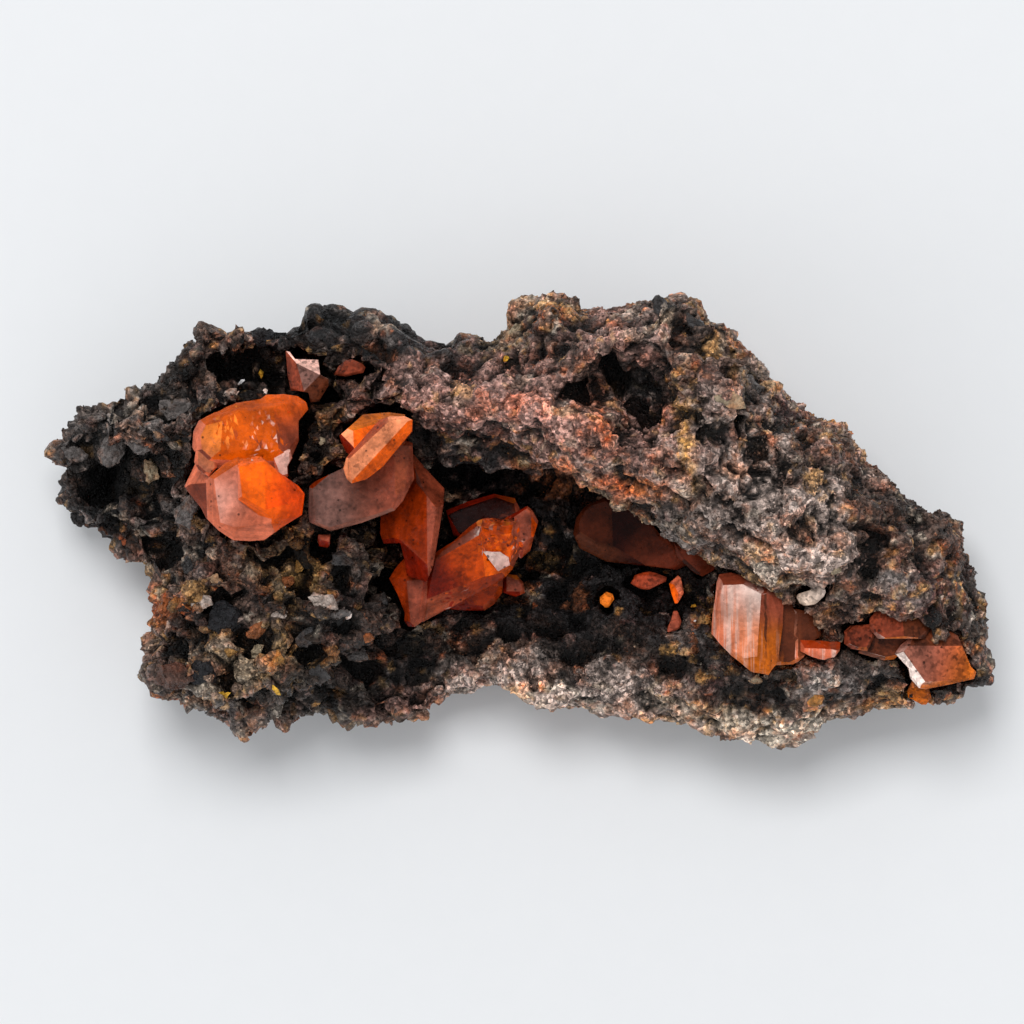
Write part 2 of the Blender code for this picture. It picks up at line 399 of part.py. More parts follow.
TAN_BLADE = [
    Gem(
        ((26.1, -7.2), (26.3, -6.9), (27.4, -6.55), (28.0, -5.95), (28.7, -6.05), (28.9, -6.7), (28.7, -7.2),
         (27.9, -7.9), (26.9, -8.05), (26.4, -7.8)),
        18.0, (27.5, -7.0, 23.4, 130, 13), (), 0.25,
    ),
]
RED_CHIP = [
    Gem(
        ((-19.3, -1.3), (-18.15, -1.3), (-18.2, -2.3), (-18.4, -2.55), (-19.2, -2.4), (-19.35, -1.8)), 15.5,
        (-18.6, -1.5, 20.6, 140, 16), (Fold(((-18.2, -2.0), (-19.3, -1.7)), 34),), 0.1,
    ),
]
SHELF_CRYSTALS = {
    "shelf_crystal_1": [
        Gem(
            ((10.5, -6.0), (10.9, -5.2), (11.7, -4.95), (12.3, -4.85), (13.0, -5.0), (14.0, -5.4), (13.9, -5.8),
             (12.2, -6.6), (11.4, -6.5)),
            9.0, (11.9, -5.8, 13.2, 200, 15), (Fold(((12.0, -5.1), (14.0, -5.75)), 26),), 0.15,
        ),
    ],
    "shelf_crystal_2": [
        Gem(
            ((14.2, -6.0), (14.6, -5.6), (15.05, -5.2), (15.35, -5.5), (15.6, -6.9), (15.0, -7.9), (14.75, -7.9),
             (14.4, -6.9)),
            9.5, (15.1, -6.2, 13.9, 140, 14),
            (Fold(((14.75, -7.9), (14.75, -5.0)), 34), Fold(((15.7, -7.0), (14.4, -7.0)), 34)), 0.1,
        ),
    ],
    "shelf_crystal_3": [
        Gem(
            ((14.0, -10.3), (14.4, -9.4), (14.6, -8.6), (15.0, -8.6), (15.4, -9.6), (15.2, -10.3), (14.8, -10.5),
             (14.0, -10.7)),
            10.0, (14.8, -9.7, 13.7, 150, 18), (), 0.2,
        ),
    ],
    "shelf_crystal_4": [
        Gem(
            ((7.6, -7.3), (8.2, -6.8), (8.8, -7.0), (8.95, -7.5), (8.4, -8.3), (8.1, -8.3), (7.6, -7.9)), 8.0,
            (8.3, -7.5, 11.8, 130, 20), (Fold(((8.9, -7.8), (7.5, -7.6)), 30),), 0.25,
        ),
    ],
}
CRYSTALS = {
    "left_crystals": LEFT_CRYSTALS,
    "middle_crystals": MIDDLE_CRYSTALS,
    "recess_crystals": RECESS_CRYSTALS,
    "striated_crystal": STRIATED_CRYSTAL,
    "tan_blade": TAN_BLADE,
    "right_end_crystals": RIGHT_END_CRYSTALS,
    "top_crystal": TOP_CRYSTAL,
    "top_plate": TOP_PLATE,
    "red_chip": RED_CHIP,
    **SHELF_CRYSTALS,
}

ORANGE = (0.83, 0.16, 0.02, 1.0)
DARK_RED = (0.42, 0.05, 0.015, 1.0)
SALMON = (0.76, 0.26, 0.13, 1.0)
BROWN = (0.34, 0.17, 0.10, 1.0)
TAN = (0.62, 0.46, 0.33, 1.0)
AMBER = (0.66, 0.30, 0.05, 1.0)
GOSSAN = (0.115, 0.085, 0.07, 1.0)
COLOURS = {
    "left_crystals": ORANGE,
    "middle_crystals": ORANGE,
    "recess_crystals": DARK_RED,
    "striated_crystal": SALMON,
    "tan_blade": TAN,
    "right_end_crystals": SALMON,
    "top_crystal": BROWN,
    "top_plate": BROWN,
    "red_chip": DARK_RED,
    "shelf_crystal_1": ORANGE,
    "shelf_crystal_2": ORANGE,
    "shelf_crystal_3": BROWN,
    "shelf_crystal_4": AMBER,
}


def clear_scene():
    """Removes whatever the file holds, so that only the specimen is in it."""
    for item in list(bpy.data.objects):
        bpy.data.objects.remove(item)


def new_collection(name):
    """A collection linked to the scene."""
    made = bpy.data.collections.new(name)
    bpy.context.scene.collection.children.link(made)
    return made


def surface_material(name, colour, roughness, transmission=0.0):
    """A Principled BSDF with the piece's colour."""
    made = bpy.data.materials.new(name)
    made.use_nodes = True
    shader = made.node_tree.nodes["Principled BSDF"]
    shader.inputs["Base Color"].default_value = colour
    shader.inputs["Roughness"].default_value = roughness
    shader.inputs["Metallic"].default_value = 0.0
    shader.inputs["Transmission Weight"].default_value = transmission
    return made


def object_from_bmesh(name, bm, collection):
    """Puts a finished bmesh in a new object."""
    mesh = bpy.data.meshes.new(name)
    bm.to_mesh(mesh)
    bm.free()
    made = bpy.data.objects.new(name, mesh)
    collection.objects.link(made)
    return made


def evaluated_mesh(item):
    """The object's mesh with its modifiers applied."""
    bpy.context.view_layer.update()
    graph = bpy.context.evaluated_depsgraph_get()
    return bpy.data.meshes.new_from_object(item.evaluated_get(graph))


def apply_modifiers(item):
    """Replaces the object's mesh by its evaluated one and clears its modifiers."""
    mesh = evaluated_mesh(item)
    item.modifiers.clear()
    item.data = mesh


def remesh(item, voxel):
    """Joins all of the object's closed shapes into one even skin."""
    modifier = item.modifiers.new("skin", "REMESH")
    modifier.mode = "VOXEL"
    modifier.voxel_size = voxel * MM
    modifier.adaptivity = 0.0
    apply_modifiers(item)


def points_of(mesh):
    """The mesh's vertex positions, as an array of rows."""
    flat = np.empty(len(mesh.vertices) * 3)
    mesh.vertices.foreach_get("co", flat)
    return flat.reshape(-1, 3)


def outline_distance(points):
    """How far each (x, y) lies from the outline, in millimetres."""
    starts = np.array(OUTLINE)
    sides = np.roll(starts, -1, axis=0) - starts
    best = np.full(len(points), np.inf)
    for start, side in zip(starts, sides):
        along = np.clip((points - start) @ side / (side @ side), 0.0, 1.0)
        gap = np.linalg.norm(points - start - along[:, None] * side, axis=1)
        best = np.minimum(best, gap)
    return best


def plate_kernel(distance):
    """The thin-plate spline's kernel, r squared log r."""
    safe = np.maximum(distance, 1e-6)
    return safe * safe * np.log(safe)


def surveyed_height(points):
    """Height of the display face at each (x, y): a thin plate bent through the surveyed points."""
    stations = np.array(SURVEY)
    ground, heights = stations[:, :2], stations[:, 2]
    count = len(stations)
    stiffness = 0.6
    kernel = plate_kernel(np.linalg.norm(ground[:, None] - ground[None], axis=2))
    flat = np.hstack([np.ones((count, 1)), ground])
    system = np.zeros((count + 3, count + 3))
    system[:count, :count] = kernel + stiffness * np.eye(count)
    system[:count, count:] = flat
    system[count:, :count] = flat.T
    weights = np.linalg.solve(system, np.concatenate([heights, np.zeros(3)]))
    reach = plate_kernel(np.linalg.norm(points[:, None] - ground[None], axis=2))
    return reach @ weights[:count] + weights[count] + points @ weights[count + 1 :]


def shoulder(distance, width):
    """0 at the rim, rising like a quarter circle to 1 at the given width."""
    share = np.clip(distance / width, 0.0, 1.0)
    return np.sqrt(1.0 - (1.0 - share) ** 2)


def underside_height(points, rim):
    """Height of the broken back: flat in the middle, climbing outside the foot and at the rim."""
    reach = (points - np.array(FOOT_CENTRE)) / np.array(FOOT_HALF_AXES)
    radius = np.linalg.norm(reach, axis=1)
    waves = np.array([noise.noise(Vector((x * 0.12, y * 0.12, 4.7))) for x, y in points])
    rise = FOOT_RISE * np.maximum(radius - 1.0, 0.0) + 1.6 * waves - 0.5
    corner = (RIM_HEIGHT - RIM_WALL / 2 + 1.0) * (1.0 - shoulder(rim, 6.0)) - 1.0
    return np.minimum(np.maximum(rise, corner), RIM_HEIGHT - RIM_WALL / 2)


def grown(corners, width):
    """The outline's corners (anticlockwise or clockwise), each moved outwards by the width."""
    sides = np.roll(corners, -1, axis=0) - corners
    turn = np.sign(np.sum(corners[:, 0] * np.roll(corners[:, 1], -1) - corners[:, 1] * np.roll(corners[:, 0], -1)))
    out = turn * np.stack([sides[:, 1], -sides[:, 0]], axis=1) / np.linalg.norm(sides, axis=1)[:, None]
    lean = out + np.roll(out, 1, axis=0)
    return corners + width * lean / np.maximum(np.linalg.norm(lean, axis=1), 0.5)[:, None]


def outline_slab(collection):
    """A plain slab of the silhouette, remeshed so that its surface can be moved."""
    curve = bpy.data.curves.new("outline", "CURVE")
    curve.dimensions = "2D"
    curve.fill_mode = "BOTH"
    curve.extrude = RIM_HEIGHT * MM
    spline = curve.splines.new("POLY")
    spline.points.add(len(OUTLINE) - 1)
    for point, (x, y) in zip(spline.points, grown(np.array(OUTLINE), OUTLINE_GROWTH)):
        point.co = (x * MM, y * MM, 0.0, 1.0)
    spline.use_cyclic_u = True
    drawn = bpy.data.objects.new("outline", curve)
    collection.objects.link(drawn)
    mesh = evaluated_mesh(drawn)
    bm = bmesh.new()
    bm.from_mesh(mesh)
    bmesh.ops.remove_doubles(bm, verts=bm.verts, dist=1e-6)
    slab = object_from_bmesh("matrix", bm, collection)
    bpy.data.objects.remove(drawn)
    remesh(slab, SLAB_VOXEL)
    return slab


def bend_to_survey(slab):
    """Moves the slab's top to the surveyed heights and its underside to the broken back."""
    mesh = slab.data
    places = points_of(mesh) / MM
    flat = places[:, :2]
    rim = outline_distance(flat)
    share = (places[:, 2] + RIM_HEIGHT) / (2 * RIM_HEIGHT)
    wall_top = RIM_HEIGHT + RIM_WALL / 2
    top = wall_top + (surveyed_height(flat) - wall_top) * shoulder(rim, TOP_SHOULDER)
    low = underside_height(flat, rim)
    places[:, 2] = low + share * (np.maximum(top, low + 1.5) - low)
    mesh.vertices.foreach_set("co", (places * MM).ravel())
    mesh.update()


def add_knobs(slab):
    """Joins lumpy spheres to the slab."""
    bm = bmesh.new()
    bm.from_mesh(slab.data)
    for region in KNOBS.values():
        for x, y, height, radius in region:
            squash = 1.0 + 0.25 * noise.noise(Vector((x, y, height)))
            frame = Matrix.Translation(Vector((x, y, height)) * MM) @ Matrix.Diagonal((squash, 2 - squash, 1, 1))
            bmesh.ops.create_icosphere(bm, subdivisions=2, radius=radius * MM, matrix=frame)
    bm.to_mesh(slab.data)
    bm.free()


def ellipsoid(name, hollow, collection):
    """A cutter for one hollow."""
    bm = bmesh.new()
    turns = Euler([math.radians(angle) for angle in hollow.turns])
    frame = Matrix.Translation(Vector(hollow.centre) * MM) @ turns.to_matrix().to_4x4()
    frame = frame @ Matrix.Diagonal((*hollow.half_axes, 1.0))
    bmesh.ops.create_icosphere(bm, subdivisions=3, radius=MM, matrix=frame)
    cutter = object_from_bmesh(name, bm, collection)
    hide(cutter)
    return cutter


def hide(item):
    """Marks a cutter, which isn't part of the specimen."""
    item.hide_render = True
    item.display_type = "WIRE"


def cut(item, cutter, operation="DIFFERENCE"):
    """Adds an exact Boolean to the object."""
    modifier = item.modifiers.new(cutter.name, "BOOLEAN")
    modifier.operation = operation
    modifier.solver = "EXACT"
    modifier.object = cutter


def crag(place):
    """Outward shift of the surface at a point in millimetres: blocky facets, each a tipped cell."""
    shift = 0.0
    for cell, depth in ((6.5, 0.9), (3.1, 0.55)):
        near = noise.voronoi(place / cell)[1][0]
        lean = noise.cell_vector(near * 7.3)
        shift += depth * ((place / cell - near).dot(lean) + 0.6 * (noise.cell(near * 3.1) - 0.5))
    return shift


def roughen(item):
    """Breaks the smooth skin into crags, and leaves the flat underside alone."""
    mesh = item.data
    places = points_of(mesh) / MM
    normals = np.empty(len(mesh.vertices) * 3)
    mesh.vertex_normals.foreach_get("vector", normals)
    normals = normals.reshape(-1, 3)
    shifts = np.array([crag(Vector(place)) for place in places])
    grip = np.clip(places[:, 2] / 2.0, 0.0, 1.0)
    places += normals * (shifts * grip)[:, None]
    mesh.vertices.foreach_set("co", (places * MM).ravel())
    mesh.update()


def thin_out(item, triangles):
    """Collapses the skin to about the given number of triangles."""
    mesh = item.data
    mesh.calc_loop_triangles()
    modifier = item.modifiers.new("thin", "DECIMATE")
    modifier.decimate_type = "COLLAPSE"
    modifier.ratio = triangles / len(mesh.loop_triangles)
    modifier.use_collapse_triangulate = True
    apply_modifiers(item)


def cut_base(item):
    """Cuts the underside off flat at height 0."""
    bm = bmesh.new()
    bm.from_mesh(item.data)
    everything = bm.verts[:] + bm.edges[:] + bm.faces[:]
    bmesh.ops.bisect_plane(bm, geom=everything, dist=1e-6, plane_co=(0, 0, 0), plane_no=(0, 0, -1), clear_outer=True)
    rims = [edge for edge in bm.edges if edge.is_boundary]
    bmesh.ops.holes_fill(bm, edges=rims, sides=0)
    drop_crumbs(bm)
    bmesh.ops.triangulate(bm, faces=bm.faces)
    bm.to_mesh(item.data)
    bm.free()


def joined_to(start):
    """All the vertices that hang together with the given one."""
    found, waiting = {start}, [start]
    while waiting:
        for edge in waiting.pop().link_edges:
            for vert in edge.verts:
                if vert not in found:
                    found.add(vert)
                    waiting.append(vert)
    return found


def drop_crumbs(bm):
    """Deletes the bits that a cut has left loose, and keeps the largest body."""
    left, bodies = set(bm.verts), []
    while left:
        body = joined_to(next(iter(left)))
        bodies.append(body)
        left -= body
    bodies.sort(key=len)
    for crumb in bodies[:-1]:
        bmesh.ops.delete(bm, geom=list(crumb), context="VERTS")


def make_matrix(parts, cutters):
    """The gossan matrix, with the crystals' sockets."""
    matrix = outline_slab(parts)
    bend_to_survey(matrix)
    add_knobs(matrix)
    remesh(matrix, JOIN_VOXEL)
    for index, hollow in enumerate(HOLLOWS):
        cut(matrix, ellipsoid(f"hollow_{index}", hollow, cutters))
    apply_modifiers(matrix)
    remesh(matrix, JOIN_VOXEL)
    roughen(matrix)
    remesh(matrix, JOIN_VOXEL)
    thin_out(matrix, MATRIX_TRIANGLES)
    cut_base(matrix)
    cut_sockets(matrix, cutters)
    matrix.data.materials.clear()
    matrix.data.materials.append(surface_material("gossan", GOSSAN, 0.85))
    return matrix


def facing(turn, tilt):
    """The unit vector tipped by tilt degrees from +Z towards the compass direction turn."""
    lean, way = math.radians(tilt), math.radians(turn)
    return Vector((math.sin(lean) * math.cos(way), math.sin(lean) * math.sin(way), math.cos(lean)))


def height_on(plane, x, y):
    """Height of a facet's plane over (x, y). The plane is a spot on it and its normal."""
    spot, normal = plane
    return spot.z - (normal.x * (x - spot.x) + normal.y * (y - spot.y)) / normal.z


def facet_planes(gem):
    """The planes of the gem's facets: the main one, its folds, then the worn rim."""
    x, y, height, turn, tilt = gem.face
    planes = [(Vector((x, y, height)), facing(turn, tilt))]
    for fold in gem.folds:
        base = planes[fold.parent]
        start, end = (Vector((px, py, height_on(base, px, py))) for px, py in fold.line)
        axis = (end - start).normalized()
        planes.append((start, Matrix.Rotation(math.radians(-fold.bend), 3, axis) @ base[1]))
    return planes + rim_planes(gem, planes)


def rim_planes(gem, planes):
    """A sloping plane along each side of the outline that no other corner sticks out of."""
    made = []
    if gem.rim <= 0:
        return made
    for (ax, ay), (bx, by) in zip(gem.outline, gem.outline[1:] + gem.outline[:1]):
        out = Vector((ay - by, bx - ax)).normalized()
        if max((px - ax) * out.x + (py - ay) * out.y for px, py in gem.outline) > 0.02:
            continue
        top = min(height_on(plane, (ax + bx) / 2, (ay + by) / 2) for plane in planes)
        made.append((Vector((ax, ay, top - gem.rim)), Vector((out.x * 0.72, out.y * 0.72, 0.69)).normalized()))
    return made


def block(gem, planes):
    """The gem's outline as an upright block that narrows to the foot from just under its facets."""
    waist = min(height_on(plane, x, y) for plane in planes for x, y in gem.outline)
    waist = max(waist, gem.foot + 1.0)
    bm = bmesh.new()
    corners = [bm.verts.new((x * MM, y * MM, gem.foot * MM)) for x, y in reversed(gem.outline)]
    floor = bm.faces.new(corners)
    middle = Matrix.Translation(floor.calc_center_median())
    top = floor
    for rise in (waist - gem.foot, 20.0):
        raised = bmesh.ops.extrude_face_region(bm, geom=[top])["geom"]
        if top is not floor:
            bmesh.ops.delete(bm, geom=[top], context="FACES_ONLY")
        top = [item for item in raised if isinstance(item, bmesh.types.BMFace)][0]
        bmesh.ops.translate(bm, verts=top.verts[:], vec=(0, 0, rise * MM))
    shrink = Matrix.Diagonal((gem.taper, gem.taper, 1.0, 1.0))
    bmesh.ops.transform(bm, matrix=middle @ shrink @ middle.inverted(), verts=floor.verts[:])
    bmesh.ops.recalc_face_normals(bm, faces=bm.faces)
    return bm


def slice_off(bm, spot, normal):
    """Cuts away what lies beyond a plane, and closes the cut."""
    everything = bm.verts[:] + bm.edges[:] + bm.faces[:]
    bmesh.ops.bisect_plane(bm, geom=everything, dist=1e-8, plane_co=spot, plane_no=normal, clear_outer=True)
    rims = [edge for edge in bm.edges if edge.is_boundary]
    if rims:
        bmesh.ops.holes_fill(bm, edges=rims, sides=0)


def gem_mesh(gem):
    """Cuts one crystal from its block, facet by facet."""
    planes = facet_planes(gem)
    bm = block(gem, planes)
    for spot, normal in planes:
        slice_off(bm, spot * MM, normal)
    bmesh.ops.remove_doubles(bm, verts=bm.verts, dist=0.02 * MM)
    bmesh.ops.recalc_face_normals(bm, faces=bm.faces)
    return bm


def cut_gem(name, gem, collection):
    """One crystal as an object."""
    return object_from_bmesh(name, gem_mesh(gem), collection)


def hull_sides(bm):
    """The planes of the hull around the mesh's vertices, the widest first, and a point inside it."""
    bmesh.ops.delete(bm, geom=bm.faces[:], context="FACES_ONLY")
    hull = bmesh.ops.convex_hull(bm, input=bm.verts)["geom"]
    skin = [face for face in hull if isinstance(face, bmesh.types.BMFace)]
    skin.sort(key=lambda face: -face.calc_area())
    middle = sum((vert.co for vert in bm.verts), Vector()) / len(bm.verts)
    sides = []
    for face in skin:
        spot, normal = face.calc_center_median(), face.normal.copy()
        out = normal if normal.dot(spot - middle) > 0 else -normal
        if all(out.dot(other) < SAME_SIDE for _, other in sides):
            sides.append((spot, out))
    return sides, middle


def cut_seat(name, gem, gap, collection):
    """The crystal's socket: its hull, with every side moved out by the gap."""
    bm = gem_mesh(gem)
    sides, middle = hull_sides(bm)
    corners = [vert.co.copy() for vert in bm.verts]
    bm.clear()
    bmesh.ops.create_cube(bm, size=60 * MM, matrix=Matrix.Translation(middle))
    for spot, out in sides:
        reach = max((corner - spot).dot(out) for corner in corners)
        slice_off(bm, spot + out * (reach + gap * MM), out)
    bmesh.ops.remove_doubles(bm, verts=bm.verts, dist=0.05 * MM)
    bmesh.ops.recalc_face_normals(bm, faces=bm.faces)
    return object_from_bmesh(name, bm, collection)


def make_cluster(name, gems, parts, cutters):
    """The crystals that grew together, joined in one group."""
    group = cut_gem(name, gems[0], parts)
    for index, gem in enumerate(gems[1:], 2):
        twin = cut_gem(f"{name}_{index}", gem, cutters)
        hide(twin)
        cut(group, twin, "UNION")
    group.data.materials.append(surface_material(name, COLOURS[name], 0.12, 0.5))
    return group


def cut_sockets(matrix, cutters):
    """Cuts each crystal's seat into the matrix, a little wider than the crystal."""
    sockets = bpy.data.collections.new("sockets")
    cutters.children.link(sockets)
    gap = SOCKET_GAP
    for name, gems in CRYSTALS.items():
        for index, gem in enumerate(gems, 1):
            hide(cut_seat(f"seat_{name}_{index}", gem, gap, sockets))
            gap += SOCKET_STEP
    modifier = matrix.modifiers.new("sockets", "BOOLEAN")
    modifier.operation = "DIFFERENCE"
    modifier.solver = "EXACT"
    modifier.operand_type = "COLLECTION"
    modifier.collection = sockets
    apply_modifiers(matrix)
    bm = bmesh.new()
    bm.from_mesh(matrix.data)
    drop_crumbs(bm)
    bm.to_mesh(matrix.data)
    bm.free()


def settle(collection):
    """Moves the whole specimen so that its bounding box stands centred over the origin."""
    corners = [point.co for item in collection.objects for point in evaluated_mesh(item).vertices]
    middle = [(min(c[axis] for c in corners) + max(c[axis] for c in corners)) / 2 for axis in (0, 1)]
    for item in bpy.data.objects:
        item.location.x -= middle[0]
        item.location.y -= middle[1]


def main():
    """Builds the matrix and the crystals that grow on it."""
    clear_scene()
    parts = new_collection("wulfenite")
    cutters = new_collection("cutters")
    make_matrix(parts, cutters)
    for name, gems in CRYSTALS.items():
        make_cluster(name, gems, parts, cutters)
    settle(parts)


if __name__ == "__main__":
    main()
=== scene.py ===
"""Visual model of the wulfenite specimen: gossan rock, its loose grains and the crystals on it.

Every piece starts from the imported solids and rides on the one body. Lengths in the tables are
millimetres, and MM turns them into metres.
"""

import logging
import math
from dataclasses import dataclass
from enum import Enum

import bmesh
import bpy
import numpy as np
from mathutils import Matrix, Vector
from mathutils.bvhtree import BVHTree

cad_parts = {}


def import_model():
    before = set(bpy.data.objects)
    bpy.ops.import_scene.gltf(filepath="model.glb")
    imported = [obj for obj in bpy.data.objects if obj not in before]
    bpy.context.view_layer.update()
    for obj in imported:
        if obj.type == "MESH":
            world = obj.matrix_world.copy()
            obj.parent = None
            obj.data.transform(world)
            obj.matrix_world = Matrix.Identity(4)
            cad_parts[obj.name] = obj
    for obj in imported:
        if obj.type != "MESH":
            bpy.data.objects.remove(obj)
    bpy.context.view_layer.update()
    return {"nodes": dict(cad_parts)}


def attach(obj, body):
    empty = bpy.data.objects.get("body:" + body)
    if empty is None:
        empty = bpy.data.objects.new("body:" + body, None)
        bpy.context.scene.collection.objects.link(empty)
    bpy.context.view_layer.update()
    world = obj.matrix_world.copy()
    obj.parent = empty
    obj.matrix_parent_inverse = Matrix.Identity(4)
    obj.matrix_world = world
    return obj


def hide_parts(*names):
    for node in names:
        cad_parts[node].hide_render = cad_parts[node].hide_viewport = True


MM = 0.001
LOG = logging.getLogger("specimen")
Colour = tuple[float, float, float]
# Where the tables' origin lies from the middle of the specimen's box, in millimetres.
MIDDLE = (-0.343, 0.008)
# Width of the rock's lumps, and the honeycomb that parts them.
LUMP = 2.6
LUMP_SEED = 3
# The square of a knob's reach in cell widths, and its mean height as a share of its full height.
KNOB_REACH = 0.5
KNOB_MEAN = 0.6
# Width of the rock's single grains of colour, and the honeycomb that parts them.
GRAIN = 0.9
GRAIN_SEED = 73
# How hollow a grain's place counts as on even ground, from -1 on a crest to 1 in a pit.
# It sets the grains' painted shade and highlight, which lights them a little on even ground.
GRAIN_HOLLOW = -0.1
# Single stones wider than this, in millimetres, are roughened.
ROUGH_STONE = 0.9
# How many shapes of pebble each crust draws from.
PEBBLE_KINDS = 10
# The rock's colour: how often a stone turns up outside its ovals, the share that is blended and not
# picked grain by grain, how much darker the left side is, and how strong the large clouds are.
STRAY_STONE = 0.012
BLENDED = 0.3
LEFT_DARKER = 0.34
CLOUDING = 0.6
# How fast a tint's pull fades along its facet, in square millimetres.
TINT_SPREAD = 3.2


class Stone(Enum):
    """The kinds of rock on the matrix, each by its colour."""

    SOOT = (0.0075, 0.0072, 0.0080)
    DARK = (0.022, 0.017, 0.015)
    BROWN = (0.062, 0.038, 0.030)
    PINK = (0.232, 0.130, 0.108)
    PALE = (0.270, 0.210, 0.182)
    GREY = (0.120, 0.105, 0.098)
    RUST = (0.300, 0.092, 0.028)
    OCHRE = (0.270, 0.150, 0.050)
    YELLOW = (0.450, 0.230, 0.060)
    TAN = (0.205, 0.155, 0.105)
    CREAM = (0.420, 0.360, 0.290)
    MAROON = (0.050, 0.020, 0.018)


@dataclass(frozen=True)
class Patch:
    """An oval stretch of one kind of rock, seen from above."""

    stone: Stone
    x: float
    y: float
    half_x: float
    half_y: float
    turn: float = 0.0
    weight: float = 1.0


